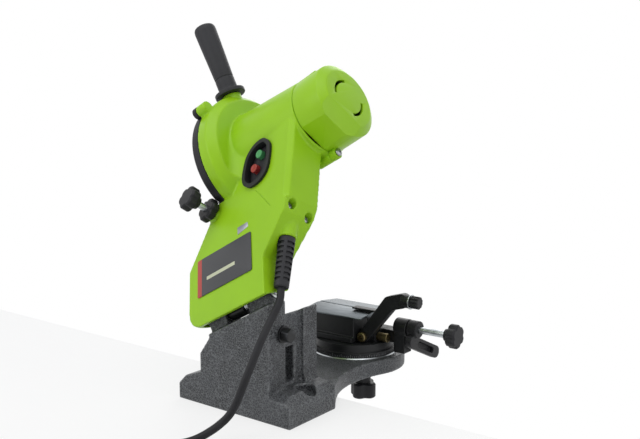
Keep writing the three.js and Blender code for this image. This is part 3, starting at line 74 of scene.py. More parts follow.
# The arm's back and the switch on it, both looking out of the machine.
BACK = place(HEAD) @ Matrix.Rotation(math.pi / 2, 4, "X")
SWITCH = (place(HEAD, 42, 0, 148) @ Matrix.Rotation(math.pi / 2, 4, "X")
          @ Matrix.Rotation(-math.radians(32.3), 4, "Z"))
# Where the lead's boot is held, and which way it points.
GLAND_AXIS = Vector((0.162, 0.062, 0.985)).normalized()
GLAND_TURN = Vector((0, 0, 1)).rotation_difference(GLAND_AXIS)
GLAND = place(HEAD, 63, -2.1, 50) @ GLAND_TURN.to_matrix().to_4x4()
print("motor axis, m:", [round(c, 4) for c in MOTOR.translation])

# %% [markdown]
# The photograph was taken from behind and to the right of the machine, a little above it, with a
# moderately long lens. Its place was worked out from the foot's corners and the motor's rim.

# %% Camera
camera_data = bpy.data.cameras.new("camera")
camera_data.lens = 46.7
camera_data.sensor_width = 36.0
camera_data.clip_start = 0.01
camera = bpy.data.objects.new("camera", camera_data)
camera.location = (0.5872, -0.6503, 0.3197)
camera.rotation_euler = (math.radians(82.36), 0, math.radians(37.47))
scene.collection.objects.link(camera)
scene.camera = camera
print("camera", [round(c, 3) for c in camera.location])

# %% [markdown]
# The backdrop, the finishes and every shape that repeats are trees of nodes. Each node could be added, set
# and linked in lines of its own, which soon hides what a tree is for. Four small helpers do that work, so
# that one line below is one node.

# %% Helpers for node trees
def add(tree, kind, inputs=None, **settings):
    """Adds a node, sets its options, and fills or links its inputs."""
    made = tree.nodes.new(kind)
    for key, value in settings.items():
        setattr(made, key, value)
    for key, value in (inputs or {}).items():
        if isinstance(value, bpy.types.NodeSocket):
            tree.links.new(value, made.inputs[key])
        else:
            made.inputs[key].default_value = value
    return made


def blank_tree(owner):
    owner.use_nodes = True
    owner.node_tree.nodes.clear()
    return owner.node_tree


def maths(tree, operation, *values):
    """One step of arithmetic on numbers or sockets."""
    return add(tree, "ShaderNodeMath", dict(enumerate(values)), operation=operation).outputs[0]


def mix(tree, share, first, second):
    """A colour between two others."""
    return add(tree, "ShaderNodeMixRGB", {0: share, 1: first, 2: second}).outputs[0]


print("node helpers", [helper.__name__ for helper in (add, blank_tree, maths, mix)])

# %% [markdown]
# A machine like this stands at the edge of a bench, so that the lock knob under its lobe hangs free. The
# floor is therefore a pale bench top that ends a little past the foot. It is lit softly from above and
# from both sides, and it stays white to the camera while it still takes the machine's shadow.

# %% Backdrop
WHITE = (1.0, 1.0, 1.0, 1.0)


def seen_directly(tree):
    """1 where the camera, a mirror or glass looks straight at the surface."""
    path = add(tree, "ShaderNodeLightPath").outputs
    either = maths(tree, "MAXIMUM", path["Is Camera Ray"], path["Is Glossy Ray"])
    return maths(tree, "MAXIMUM", either, path["Is Transmission Ray"])


def backdrop_world():
    world = bpy.data.worlds.new("studio")
    tree = blank_tree(world)
    soft = add(tree, "ShaderNodeBackground", {"Color": (0.95, 0.97, 1.0, 1.0), "Strength": 0.42})
    plain = add(tree, "ShaderNodeBackground", {"Color": WHITE, "Strength": 1.0})
    mixed = add(tree, "ShaderNodeMixShader", {0: seen_directly(tree), 1: soft.outputs[0], 2: plain.outputs[0]})
    add(tree, "ShaderNodeOutputWorld", {"Surface": mixed.outputs[0]})
    scene.world = world


backdrop_world()
print("world", scene.world.name)

# %% [markdown]
# The bench top is a real board, not an endless plane, because the machine stands at its front edge. Part of
# its light to the camera is its own, so that it looks as white as the backdrop, and the rest is plain paint
# that takes the machine's shadow.

# %% Bench top
BENCH_SIZE = (5.0, 2.54, 0.04)
BENCH_MIDDLE = Vector((0.0, -1.2, -0.0202))


def bench_material():
    material = bpy.data.materials.new("bench_white")
    tree = blank_tree(material)
    grain = add(tree, "ShaderNodeTexNoise", {"Scale": 90.0, "Detail": 3.0}).outputs["Fac"]
    tint = mix(tree, grain, (0.86, 0.86, 0.86, 1), (0.9, 0.9, 0.9, 1))
    paint = add(tree, "ShaderNodeBsdfPrincipled", {"Base Color": tint, "Roughness": 0.6})
    glow = add(tree, "ShaderNodeEmission", {"Color": WHITE, "Strength": 1.0})
    share = maths(tree, "MULTIPLY", seen_directly(tree), 0.72)
    mixed = add(tree, "ShaderNodeMixShader", {0: share, 1: paint.outputs[0], 2: glow.outputs[0]})
    add(tree, "ShaderNodeOutputMaterial", {"Surface": mixed.outputs[0]})
    return material


def bench_top():
    """A board whose front edge ends a little past the foot, its top a hair below the machine."""
    bm = bmesh.new()
    bmesh.ops.create_cube(bm, size=1.0)
    for v in bm.verts:
        v.co = BENCH_MIDDLE + Vector(v.co[i] * BENCH_SIZE[i] for i in range(3))
    mesh = bpy.data.meshes.new("bench_top")
    bm.to_mesh(mesh)
    bm.free()
    mesh.materials.append(bench_material())
    bench = bpy.data.objects.new("bench_top", mesh)
    scene.collection.objects.link(bench)
    return bench


print("floor", bench_top().name)

# %% [markdown]
# The light is a studio's: one wide lamp above and three round the machine. A single strong lamp would burn
# out the green and leave the black parts without form. Four weak, wide ones keep each colour about as it is
# written, and draw soft edges on the gloss.

# %% Lamps
def lamp(name, at, size, power, target=(0.0, 0.02, 0.2)):
    data = bpy.data.lights.new(name, "AREA")
    data.shape = "RECTANGLE"
    data.size, data.size_y = size
    data.energy = power
    made = bpy.data.objects.new(name, data)
    made.location = at
    made.rotation_euler = (Vector(target) - Vector(at)).to_track_quat("-Z", "Y").to_euler()
    scene.collection.objects.link(made)


lamp("top_soft", (0.1, -0.3, 1.7), (1.6, 1.2), 9.5)
lamp("key_soft", (-0.7, -1.5, 1.1), (1.1, 1.1), 9.0)
lamp("right_soft", (1.7, 0.1, 0.7), (0.9, 1.2), 5.0)
lamp("front_fill", (-0.6, 1.6, 0.9), (1.2, 1.0), 7.0)
scene.view_settings.view_transform = "Standard"

# %% [markdown]
# Most real surfaces here share a few effects: a fine grain that breaks up the gloss, the veins of hammered
# paint, and edges painted bright, partly as wear and partly as a painted highlight. They could be repeated
# in every material. As node groups with named sockets they are built once, and each finish sets its own
# sizes.

# %% Helpers for groups
def new_group(name, inputs, outputs, kind="ShaderNodeTree"):
    group = bpy.data.node_groups.new(name, kind)
    for socket, kind, value in inputs:
        made = group.interface.new_socket(socket, in_out="INPUT", socket_type=kind)
        if value is not None:
            made.default_value = value
    for socket, kind in outputs:
        group.interface.new_socket(socket, in_out="OUTPUT", socket_type=kind)
    return group, add(group, "NodeGroupInput"), add(group, "NodeGroupOutput")


def fill_outputs(group, end, values):
    for name, value in values.items():
        group.links.new(value, end.inputs[name])


FLOAT, VECTOR, COLOUR = "NodeSocketFloat", "NodeSocketVector", "NodeSocketColor"
print("socket kinds", FLOAT, VECTOR, COLOUR)

# %% [markdown]
# No paint or plastic is quite even. Close up it has a fine grain, and across a hand's width its tone drifts
# a little. Two noises of very different scale give both, and every finish below starts from them.

# %% Fine grain
def grain_group():
    """A fine height and a slow change of tone."""
    group, start, end = new_group(
        "FineGrain", [("Vector", VECTOR, None), ("Scale", FLOAT, 900.0), ("Mottle Scale", FLOAT, 25.0)],
        [("Height", FLOAT), ("Mottle", FLOAT)])
    fine = add(group, "ShaderNodeTexNoise", {"Vector": start.outputs["Vector"], "Scale": start.outputs["Scale"],
                                             "Detail": 3.0, "Roughness": 0.55})
    slow = add(group, "ShaderNodeTexNoise", {"Vector": start.outputs["Vector"],
                                             "Scale": start.outputs["Mottle Scale"], "Detail": 4.0})
    fill_outputs(group, end, {"Height": fine.outputs["Fac"], "Mottle": slow.outputs["Fac"]})
    return group


GRAIN = grain_group()
print("group", GRAIN.name)

# %% [markdown]
# Hammered paint pulls together into round dimples as it dries, with raised veins between them. A plain
# noise has no veins. Voronoi cells have them where two cells meet, and a little noise on the coordinates
# keeps the cells from looking drawn with a ruler.

# %% Hammered veins
def hammered_group():
    """Round dimples with raised veins between them, as in hammered paint on a casting."""
    group, start, end = new_group("HammeredVeins", [("Vector", VECTOR, None), ("Cells", FLOAT, 380.0)],
                                  [("Height", FLOAT), ("Vein", FLOAT)])
    sway = add(group, "ShaderNodeTexNoise", {"Vector": start.outputs["Vector"], "Scale": 160.0, "Detail": 2.0})
    shift = add(group, "ShaderNodeVectorMath", {0: sway.outputs["Color"], 1: (0.5, 0.5, 0.5)},
                operation="SUBTRACT")
    small = add(group, "ShaderNodeVectorMath", {0: shift.outputs[0], "Scale": 0.006}, operation="SCALE")
    moved = add(group, "ShaderNodeVectorMath", {0: start.outputs["Vector"], 1: small.outputs[0]},
                operation="ADD")
    cells = add(group, "ShaderNodeTexVoronoi", {"Vector": moved.outputs[0], "Scale": start.outputs["Cells"]},
                feature="DISTANCE_TO_EDGE")
    vein = add(group, "ShaderNodeMapRange", {"Value": cells.outputs["Distance"], "From Min": 0.0, "From Max": 0.16,
                                             "To Min": 1.0, "To Max": 0.0},
               interpolation_type="SMOOTHSTEP")
    fill_outputs(group, end, {"Height": vein.outputs[0], "Vein": vein.outputs[0]})
    return group


HAMMERED = hammered_group()
print("group", HAMMERED.name)

# %% [markdown]
# Black paint wears first where an edge sticks out, and such an edge also catches a highlight. Both are
# painted here as one brighter colour. An edge could be picked by hand, but Pointiness already says how much
# each point sticks out, and a noise added to it breaks the bright line into patches.

# %% Worn edges and painted highlights
def worn_and_highlit_edges_group():
    """Paints a bare colour where an edge sticks out: partly wear, partly a painted highlight."""
    group, start, end = new_group(
        "WornAndHighlitEdges", [("Vector", VECTOR, None), ("Colour", COLOUR, None), ("Bare", COLOUR, None),
                        ("From", FLOAT, 0.55), ("To", FLOAT, 0.7)], [("Colour", COLOUR), ("Rubbed", FLOAT)])
    edge = add(group, "ShaderNodeNewGeometry")
    patch = add(group, "ShaderNodeTexNoise", {"Vector": start.outputs["Vector"], "Scale": 140.0, "Detail": 5.0})
    bent = maths(group, "MULTIPLY_ADD", patch.outputs["Fac"], 0.14, edge.outputs["Pointiness"])
    worn_and_highlit = add(group, "ShaderNodeMapRange", {"Value": bent, "From Min": start.outputs["From"],
                                             "From Max": start.outputs["To"]}, interpolation_type="SMOOTHSTEP")
    # The brighter edge colour is partly wear and partly a painted highlight.
    mixed = mix(group, worn_and_highlit.outputs[0], start.outputs["Colour"], start.outputs["Bare"])
    fill_outputs(group, end, {"Colour": mixed, "Rubbed": worn_and_highlit.outputs[0]})
    return group


WORN_AND_HIGHLIT_EDGES = worn_and_highlit_edges_group()
print("shader groups", [g.name for g in bpy.data.node_groups])

# %% [markdown]
# The green shell is painted metal with a slight orange peel. The black parts are moulded plastic or
# blackened castings. A plain colour would look like a toy, so each finish mixes two tones with the grain,
# changes its gloss a little and gets a small bump at the real scale.

# %% Colours and the end of a finish
def srgb(red, green, blue):
    """A colour read from 0 to 255 as it looks on screen, as the linear colour that a shader needs."""
    def straight(c):
        c /= 255
        return c / 12.92 if c <= 0.04045 else ((c + 0.055) / 1.055) ** 2.4
    return (straight(red), straight(green), straight(blue), 1.0)


def surface_base(name):
    material = bpy.data.materials.new(name)
    tree = blank_tree(material)
    where = add(tree, "ShaderNodeTexCoord").outputs["Object"]
    return material, tree, where


def close_surface(tree, colour, rough, height, bump, strength=0.5, **fixed):
    """The last nodes of a finish: bump, shader and output."""
    raised = add(tree, "ShaderNodeBump", {"Height": height, "Distance": bump, "Strength": strength})
    shader = add(tree, "ShaderNodeBsdfPrincipled", {"Base Color": colour, "Roughness": rough,
                                                    "Normal": raised.outputs[0]})
    for socket, value in fixed.items():
        shader.inputs[socket.replace("_", " ")].default_value = value
    add(tree, "ShaderNodeOutputMaterial", {"Surface": shader.outputs[0]})


def spread(tree, value, low, high):
    """A noise's usual range, stretched between two values."""
    return add(tree, "ShaderNodeMapRange", {"Value": value, "From Min": 0.3, "From Max": 0.7,
                                            "To Min": low, "To Max": high}).outputs[0]


def placed(tree, group, values):
    """A shader group in a material's tree, with values of its own. Gives the group's outputs."""
    return add(tree, "ShaderNodeGroup", values, node_tree=group).outputs


print("middle grey is", round(srgb(128, 128, 128)[0], 3))

# %% [markdown]
# Lacquer, moulded plastic and blackened iron differ in colour, grain and gloss, and are otherwise made the
# same way. So one maker covers them all, and a brighter colour on the edges, partly bare paint from wear and
# partly a painted highlight, is given only to what is painted and rubs through.

# %% Paint and plastic
def coated(name, dark, light, rough, grain=900.0, bump=0.0001, bare_and_highlight=None, wear_and_highlight=(0.6, 0.75), mottle=25.0,
           **fixed):
    """Paint or moulded plastic: two close tones, fine grain, and, where an edge colour is given, edges painted
    brighter, partly as wear and partly as a painted highlight.
    """
    material, tree, where = surface_base(name)
    fine = placed(tree, GRAIN, {"Vector": where, "Scale": grain, "Mottle Scale": mottle})
    colour = mix(tree, spread(tree, fine["Mottle"], 0.0, 1.0), dark, light)
    if bare_and_highlight:
        # Edges get the brighter colour: partly wear, partly a painted highlight.
        colour = placed(tree, WORN_AND_HIGHLIT_EDGES, {"Vector": where, "Colour": colour, "Bare": bare_and_highlight, "From": wear_and_highlight[0],
                                       "To": wear_and_highlight[1]})["Colour"]
    close_surface(tree, colour, spread(tree, fine["Mottle"], *rough), fine["Height"], bump, **fixed)
    return material


print("maker", coated.__name__)

# %% [markdown]
# Turned and ground steel carries marks along the way the tool went. Stretching the grain along one axis
# gives such streaks without a picture, and parts that aren't ground leave it even.

# %% Metal
def metal(name, dark, light, rough, streaks=(1.0, 1.0, 1.0), scale=400.0, bump=0.00005):
    """Bare or plated metal, with drawn or turned streaks along one axis of the part."""
    material, tree, where = surface_base(name)
    pulled = add(tree, "ShaderNodeMapping", {"Vector": where, "Scale": streaks}).outputs[0]
    fine = placed(tree, GRAIN, {"Vector": pulled, "Scale": scale, "Mottle Scale": 60.0})
    colour = mix(tree, spread(tree, fine["Mottle"], 0.0, 1.0), dark, light)
    gloss = spread(tree, fine["Height"], *rough)
    close_surface(tree, colour, gloss, fine["Height"], bump, strength=0.35, Metallic=1.0)
    return material


print("maker", metal.__name__)

# %% [markdown]
# The base wears hammered grey paint. Its veins are lighter than the dimples and stand up, so the same mask
# drives both the colour and the bump, and the foot's sharp edges show a paler grey, partly bare paint from
# wear and partly a painted highlight.

# %% Hammered paint
def hammered_paint(name):
    material, tree, where = surface_base(name)
    veins = placed(tree, HAMMERED, {"Vector": where})
    fine = placed(tree, GRAIN, {"Vector": where})
    ground = mix(tree, spread(tree, fine["Mottle"], 0.0, 1.0), srgb(40, 41, 43), srgb(60, 62, 65))
    colour = mix(tree, maths(tree, "MULTIPLY", veins["Vein"], 0.6), ground, srgb(124, 127, 130))
    # The foot's edges get a paler grey: partly wear, partly a painted highlight.
    worn_and_highlit = placed(tree, WORN_AND_HIGHLIT_EDGES, {"Vector": where, "Colour": colour, "Bare": srgb(136, 138, 140), "From": 0.57,
                                 "To": 0.7})
    gloss = spread(tree, fine["Mottle"], 0.34, 0.46)
    close_surface(tree, worn_and_highlit["Colour"], gloss, veins["Height"], 0.0004, strength=0.8, Metallic=0.25)
    return material


print("maker", hammered_paint.__name__)

# %% [markdown]
# A plate on the arm holds a printed film. It is left bare here, with a red band at its end and one plain
# pale bar. The print could be a picture, but a few comparisons on the plate's own coordinates draw it as
# sharply, at any size. A Mapping node turns the coordinates to the head's frame.

# %% Label print
RED_BAND = (-0.07, -0.0525)
PALE_BAR = ((-0.0438, 0.0035), (0.0373, 0.0414))


def within(tree, value, low, high):
    """1 between two values, 0 outside them."""
    above = maths(tree, "GREATER_THAN", value, low)
    return maths(tree, "MULTIPLY", above, maths(tree, "LESS_THAN", value, high))


def label_print(name):
    """A bare label: dark film with a red band at its left end and one plain pale bar, in the head's frame."""
    material, tree, where = surface_base(name)
    local = add(tree, "ShaderNodeMapping", {"Vector": where, "Location": HEAD.translation,
                                            "Rotation": HEAD.to_euler()}, vector_type="TEXTURE").outputs[0]
    split = add(tree, "ShaderNodeSeparateXYZ", {"Vector": local}).outputs
    along, across = PALE_BAR
    bar = maths(tree, "MULTIPLY", within(tree, split["X"], *along), within(tree, split["Z"], *across))
    fine = placed(tree, GRAIN, {"Vector": where})
    film = mix(tree, fine["Mottle"], srgb(46, 47, 50), srgb(58, 59, 62))
    barred = mix(tree, bar, film, srgb(196, 200, 170))
    banded = mix(tree, within(tree, split["X"], *RED_BAND), barred, srgb(176, 62, 52))
    close_surface(tree, banded, spread(tree, fine["Mottle"], 0.4, 0.5), fine["Height"], 0.00003)
    return material


print("pale bar, m", PALE_BAR)

# %% [markdown]
# The grinding wheel is sharp grains in a red-brown bond. Voronoi cells about half a millimetre across stand
# for the grains: each gets its own tone and gloss, and the distance from its middle makes it stand up.

# %% Abrasive
def gritty(name):
    """Bonded abrasive: bright and dark grains about half a millimetre across."""
    material, tree, where = surface_base(name)
    grains = add(tree, "ShaderNodeTexVoronoi", {"Vector": where, "Scale": 2200.0}).outputs
    pick = add(tree, "ShaderNodeSeparateColor", {0: grains["Color"]}).outputs
    colour = mix(tree, pick[0], srgb(118, 58, 46), srgb(176, 104, 84))
    rough = add(tree, "ShaderNodeMapRange", {"Value": pick[1], "To Min": 0.75, "To Max": 0.95}).outputs[0]
    close_surface(tree, colour, rough, grains["Distance"], 0.0003, strength=1.0)
    return material


print("maker", gritty.__name__)

# %% [markdown]
# These are all the finishes of the machine. Each names its two tones as they look on screen, its least and
# greatest roughness, the grain's scale and the height of its bump in metres.

# %% All finishes
PAINT = {
    "green": coated("green_lacquer", srgb(147, 196, 22), srgb(153, 203, 26), (0.34, 0.44), 700.0, 0.00006,
                    Specular_IOR_Level=0.32),
    "black": coated("black_moulding", srgb(27, 27, 29), srgb(36, 36, 39), (0.42, 0.56), 1500.0, 0.00012,
                    Specular_IOR_Level=0.25),
    "grip": coated("grip_moulding", srgb(36, 36, 39), srgb(46, 46, 50), (0.5, 0.62), 2200.0, 0.00018,
                   Specular_IOR_Level=0.3),
    # The casting's edges turn grey: partly wear, partly a painted highlight.
    "casting": coated("black_casting", srgb(22, 23, 24), srgb(33, 34, 36), (0.36, 0.5), 800.0, 0.0002,
                      bare_and_highlight=srgb(84, 86, 90), wear_and_highlight=(0.63, 0.78), Specular_IOR_Level=0.3),
    "zinc": metal("zinc_plate", srgb(160, 165, 168), srgb(200, 204, 206), (0.26, 0.4)),
    "rail": metal("ground_rail", srgb(84, 90, 94), srgb(116, 122, 126), (0.34, 0.5), (1.0, 14.0, 14.0), 120.0),
    "steel": metal("turned_steel", srgb(132, 135, 138), srgb(172, 174, 176), (0.28, 0.42)),
    "copper": metal("copper_bars", srgb(150, 86, 50), srgb(190, 118, 74), (0.3, 0.45)),
    "brass": metal("old_brass", srgb(92, 82, 56), srgb(124, 112, 80), (0.36, 0.52)),
    "cast": hammered_paint("hammered_grey_paint"),
    "grit": gritty("wheel_grit"),
    "on": coated("green_button_cap", srgb(60, 140, 82), srgb(76, 158, 96), (0.32, 0.42), 900.0, 0.00005),
    "off": coated("red_button_cap", srgb(150, 38, 38), srgb(168, 52, 48), (0.32, 0.42), 900.0, 0.00005),
    "stroke": coated("scale_paint", srgb(120, 122, 124), srgb(140, 142, 144), (0.45, 0.55), 900.0, 0.00004),
    "label": label_print("label_print"),
    "silver": metal("silver_film", srgb(150, 153, 160), srgb(176, 178, 184), (0.4, 0.5)),
    "jacket": coated("lead_jacket", srgb(30, 30, 32), srgb(42, 42, 45), (0.48, 0.6), 1800.0, 0.00015, mottle=60.0,
                     Specular_IOR_Level=0.22),
}
print("finishes", len(PAINT))

# %% [markdown]
# Every piece starts as points and faces in memory and becomes an object at the origin. Its place goes into
# its mesh, never into the object. Modifiers do some of the shaping, and their result is then made the
# piece's own mesh.

# %% From points to a piece
def new_piece(name, bm):
    mesh = bpy.data.meshes.new(name)
    bm.to_mesh(mesh)
    bm.free()
    piece = bpy.data.objects.new(name, mesh)
    scene.collection.objects.link(piece)
    return piece


def settle(piece):
    """Turns the modifiers' result into the piece's own mesh."""
    graph = bpy.context.evaluated_depsgraph_get()
    mesh = bpy.data.meshes.new_from_object(piece.evaluated_get(graph))
    piece.modifiers.clear()
    piece.data = mesh
    return piece


def smooth_faces(piece, angle=32.0):
    piece.data.polygons.foreach_set("use_smooth", [True] * len(piece.data.polygons))
    piece.data.set_sharp_from_angle(angle=math.radians(angle))
    return piece


def in_place(name, bm, matrix):
    """Turns the faces outwards and carries a mesh in millimetres to its place, in metres."""
    bmesh.ops.recalc_face_normals(bm, faces=bm.faces)
    bmesh.ops.transform(bm, matrix=matrix @ Matrix.Scale(MM, 4), verts=bm.verts)
    return new_piece(name, bm)


print("mesh helpers", [helper.__name__ for helper in (new_piece, settle, smooth_faces, in_place)])

# %% [markdown]
# Knobs, rods, the motor's cap and the wheel are turned parts. A Screw modifier could spin them, but a lathe
# of our own closes the poles with single points and rounds the profile's corners first, so that every edge
# catches the light as a real one does.

# %% Turned parts
def rounded(points, reach, steps=3):
    """A profile with each inner corner replaced by a short curve that starts `reach` before it."""
    points = [Vector(p) for p in points]
    closed = (points[0] - points[-1]).length < 1e-6
    out = [] if closed else [points[0]]
    count = len(points) - 1
    for i in range(0 if closed else 1, count):
        before, here, after = points[(i - 1) % count if closed else i - 1], points[i], points[i + 1]
        cut = min(reach, 0.45 * (before - here).length, 0.45 * (after - here).length)
        start, end = here + (before - here).normalized() * cut, here + (after - here).normalized() * cut
        for k in range(steps + 1):
            t = k / steps
            out.append(start * (1 - t) ** 2 + here * (2 * t * (1 - t)) + end * t ** 2)
    out.append(out[0] if closed else points[-1])
    return out


def lathe(name, profile, matrix, segments=96, soft=0.5):
    """Spins a profile of (radius, height) pairs in millimetres round the matrix's own Z."""
    profile = rounded(profile, soft) if soft else [Vector(p) for p in profile]
    closed = (profile[0] - profile[-1]).length < 1e-6
    bm = bmesh.new()
    rings = []
    for radius, height in profile[:-1] if closed else profile:
        if radius < 1e-6:
            rings.append([bm.verts.new((0, 0, height))])
            continue
        rings.append([bm.verts.new((radius * math.cos(a), radius * math.sin(a), height))
                      for a in (2 * math.pi * k / segments for k in range(segments))])
    pairs = list(zip(rings, rings[1:])) + ([(rings[-1], rings[0])] if closed else [])
    for low, high in pairs:
        for k in range(segments):
            j = (k + 1) % segments
            corners = [low[k % len(low)], low[j % len(low)], high[j % len(high)], high[k % len(high)]]
            corners = list(dict.fromkeys(corners))
            if len(corners) > 2:
                bm.faces.new(corners)
    return smooth_faces(in_place(name, bm, matrix))


print("points on one rounded corner", len(rounded([(0, 0), (9, 0), (9, 9)], 2.0)) - 2)

# %% [markdown]
# Plates, slots and flats are straight. A box or an outline pushed through a height makes them, and one
# Boolean helper cuts such a tool out of a piece or joins it on. The tools themselves never stay.

# %% Straight parts and cuts
def block(name, low, high, matrix):
    """A plain cutting tool: a box between two corners in millimetres."""
    bm = bmesh.new()
    bmesh.ops.create_cube(bm, size=1.0)
    for v in bm.verts:
        v.co = Vector(high[i] if v.co[i] > 0 else low[i] for i in range(3))
    return in_place(name, bm, matrix)


def prism(name, points, low, high, matrix):
    """An outline in the matrix's X-Y plane, pushed from one height to another."""
    bm = bmesh.new()
    base = [bm.verts.new((x, y, low)) for x, y in points]
    top = [bm.verts.new((x, y, high)) for x, y in points]
    bm.faces.new(base)
    bm.faces.new(top)
    for k in range(len(points)):
        j = (k + 1) % len(points)
        bm.faces.new((base[k], base[j], top[j], top[k]))
    return in_place(name, bm, matrix)


def arc(cx, cy, radius, start, end, steps):
    """Points on an arc, its angles in degrees."""
    turns = (math.radians(start + (end - start) * k / steps) for k in range(steps + 1))
    return [(cx + radius * math.cos(a), cy + radius * math.sin(a)) for a in turns]


def carve(piece, *tools, how="DIFFERENCE"):
    """Cuts tools out of a piece, or joins them to it, and removes them."""
    for tool in tools:
        step = piece.modifiers.new("carve", "BOOLEAN")
        step.operation, step.object, step.solver = how, tool, "MANIFOLD"
    settle(piece)
    for tool in tools:
        bpy.data.objects.remove(tool)
    return piece


print("points on a quarter turn", len(arc(0, 0, 10, 0, 90, 6)))

# %% [markdown]
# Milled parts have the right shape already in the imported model, only with edges as sharp as a knife. A copy
# of the node gets a small bevel. The node's triangles are loose, so the copy is merged and its flat faces
# joined first, or the bevel would run along every triangle.

# %% Milled parts
def cleaned(bm):
    """Joins loose triangles into faces."""
    bmesh.ops.remove_doubles(bm, verts=bm.verts, dist=2e-6)
    bmesh.ops.dissolve_limit(bm, angle_limit=math.radians(0.4), verts=bm.verts, edges=bm.edges)
    return bm


def merged_mesh(node):
    """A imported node's loose triangles as one clean bmesh with flat faces joined."""
    bm = bmesh.new()
    bm.from_mesh(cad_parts[node].data)
    return cleaned(bm)


def eased(piece, bevel, angle=34.0, segments=2):
    """Takes the sharpness off a piece's edges with a small bevel."""
    bm = bmesh.new()
    bm.from_mesh(piece.data)
    cleaned(bm).to_mesh(piece.data)
    bm.free()
    step = piece.modifiers.new("bevel", "BEVEL")
    step.width, step.segments, step.angle_limit = bevel * MM, segments, math.radians(angle)
    step.limit_method, step.use_clamp_overlap = "ANGLE", True
    return smooth_faces(settle(piece), 28.0)


def milled(node, name, bevel):
    """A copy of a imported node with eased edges."""
    return eased(new_piece(name, merged_mesh(node)), bevel)


print("helpers", merged_mesh.__name__, eased.__name__, milled.__name__)

# %% [markdown]
# A casting has no sharp edge anywhere, and its bosses flow into its walls. Bevels fail where many parts
# meet at odd angles. So the parts are laid over each other, remeshed into one skin of small even faces, and
# smoothed a few times, which rounds everything as a mould does.

# %% Castings
def softened(piece, matrix, voxel, smoothing, keep=1.0):
    """Remeshes a piece in its own frame and rounds it like a casting."""
    piece.data.transform(matrix.inverted())
    step = piece.modifiers.new("remesh", "REMESH")
    step.mode, step.voxel_size, step.use_smooth_shade = "VOXEL", voxel * MM, True
    step = piece.modifiers.new("soften", "SMOOTH")
    step.factor, step.iterations = 0.5, smoothing
    if keep < 1.0:
        step = piece.modifiers.new("thin", "DECIMATE")
        step.ratio = keep
    settle(piece)
    piece.data.transform(matrix)
    piece.data.polygons.foreach_set("use_smooth", [True] * len(piece.data.polygons))
    return piece


def moulded(node, name, matrix, voxel, smoothing, skins=(), keep=1.0):
    """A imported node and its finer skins, made into one softened body."""
    bm = merged_mesh(node)
    for skin in skins:
        bm.from_mesh(skin.data)
        bpy.data.objects.remove(skin)
    return softened(new_piece(name, bm), matrix, voxel, smoothing, keep)


print("helpers", softened.__name__, moulded.__name__)

# %% [markdown]
# Last, each piece is told its finish and the body it rides on, and the imported nodes it stands for are
# hidden. One helper does this, so that no piece misses a step.

# %% Finish and body
made = []


def fit(piece, body, slot, paint, *nodes):
    """Gives a piece its finish and its body, and hides the nodes it stands for. The slot is not used."""
    piece.data.materials.clear()
    piece.data.materials.append(PAINT[paint])
    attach(piece, body)
    if nodes:
        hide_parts(*nodes)
    made.append(piece.name)
    return piece


print("pieces so far", len(made))

# %% [markdown]
# The mains lead leaves its boot, hangs in one easy bend to the bench and runs out of the picture. What
# the picture doesn't show is wound into a flat coil, with the plug beside it. One curve carries all of it,
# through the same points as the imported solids, so that its length is the real 1.85 metres.

# %% The coil's route
CORD_RADIUS = 4.0
COIL = {"x": 58.6, "y": -228.0, "floor": 4.1, "middle": 44.0, "turns": 5.5, "pitch": 8.7, "rise": 8.7,
        "steps": 24, "straight": 8.0, "tail": 46.0}


def coil_point(turn):
    """A place on the coil: inwards on the bench, a climb where it turns back, then outwards on top."""
    half = COIL["turns"] / 2
    wound = turn if turn < half else COIL["turns"] - turn
    radius = COIL["middle"] + COIL["pitch"] * (half / 2 - wound)
    climbed = min(max((turn - half) * 2 + 0.5, 0.0), 1.0)
    height = COIL["floor"] + COIL["rise"] * climbed * climbed * (3 - 2 * climbed)
    angle = math.pi + turn * 2 * math.pi
    return Vector((COIL["x"] + radius * math.cos(angle), COIL["y"] + radius * math.sin(angle), height))


def coil_route():
    steps = round(COIL["turns"] * COIL["steps"])
    points = [coil_point(k / COIL["steps"]) for k in range(steps + 1)]
    lead = (coil_point(0) - coil_point(0.001)).normalized()
    tail = (coil_point(COIL["turns"]) - coil_point(COIL["turns"] - 0.001)).normalized()
    lead.z = tail.z = 0.0
    return [points[0] + lead * COIL["straight"]] + points + [points[-1] + tail * COIL["tail"]], lead, tail


print("coil points", len(coil_route()[0]))

# %% [markdown]
# Between the boot and the coil only a few places are known. Straight lines between them would kink, and a
# plain spline would swing out where the places are unevenly spaced. A centripetal curve runs through every
# place and keeps its swing in check.

# %% A smooth curve through places
def between(four, knots, t):
    """A point of the centripetal curve between the middle two of four points."""
    row = four
    for level in (1, 2, 3):
        steps = []
        for j in range(4 - level):
            low, high = (knots[1], knots[2]) if level == 3 else (knots[j], knots[j + level])
            weight = (t - low) / (high - low)
            steps.append(row[j] * (1 - weight) + row[j + 1] * weight)
        row = steps
    return row[0]


def through(points, share):
    """Points on a smooth curve through the given ones, a few between each pair."""
    out = []
    for i in range(len(points) - 1):
        four = [points[max(i - 1, 0)], points[i], points[i + 1], points[min(i + 2, len(points) - 1)]]
        if i == 0:
            four[0] = four[1] * 2 - four[2]
        if i + 2 > len(points) - 1:
            four[3] = four[2] * 2 - four[1]
        knots = [0.0]
        for a, b in zip(four, four[1:]):
            knots.append(knots[-1] + max((b - a).length, 1e-6) ** 0.5)
        out += [between(four, knots, knots[1] + (knots[2] - knots[1]) * k / share) for k in range(share)]
    return out + [points[-1]]


print("helpers", between.__name__, through.__name__)

# %% [markdown]
# The lead leaves the boot straight, hangs down past the arm and lies on the bench, where it runs out to the
# coil. The few places below were measured in the picture. A lead could be drawn as a mesh tube, but a curve
# with a round section stays smooth, and its length can be read from its points.

# %% The lead's free run
RELIEF_LENGTH = 55.0
FREE_RUN = [(62.4, -45.6, 112), (63.9, -61.9, 95), (60.7, -80.5, 62), (51.6, -95, 27), (34, -119, 7.5),
            (21, -142, 4.2), (10.4, -166, 4.1), (4.8, -188, 4.1)]


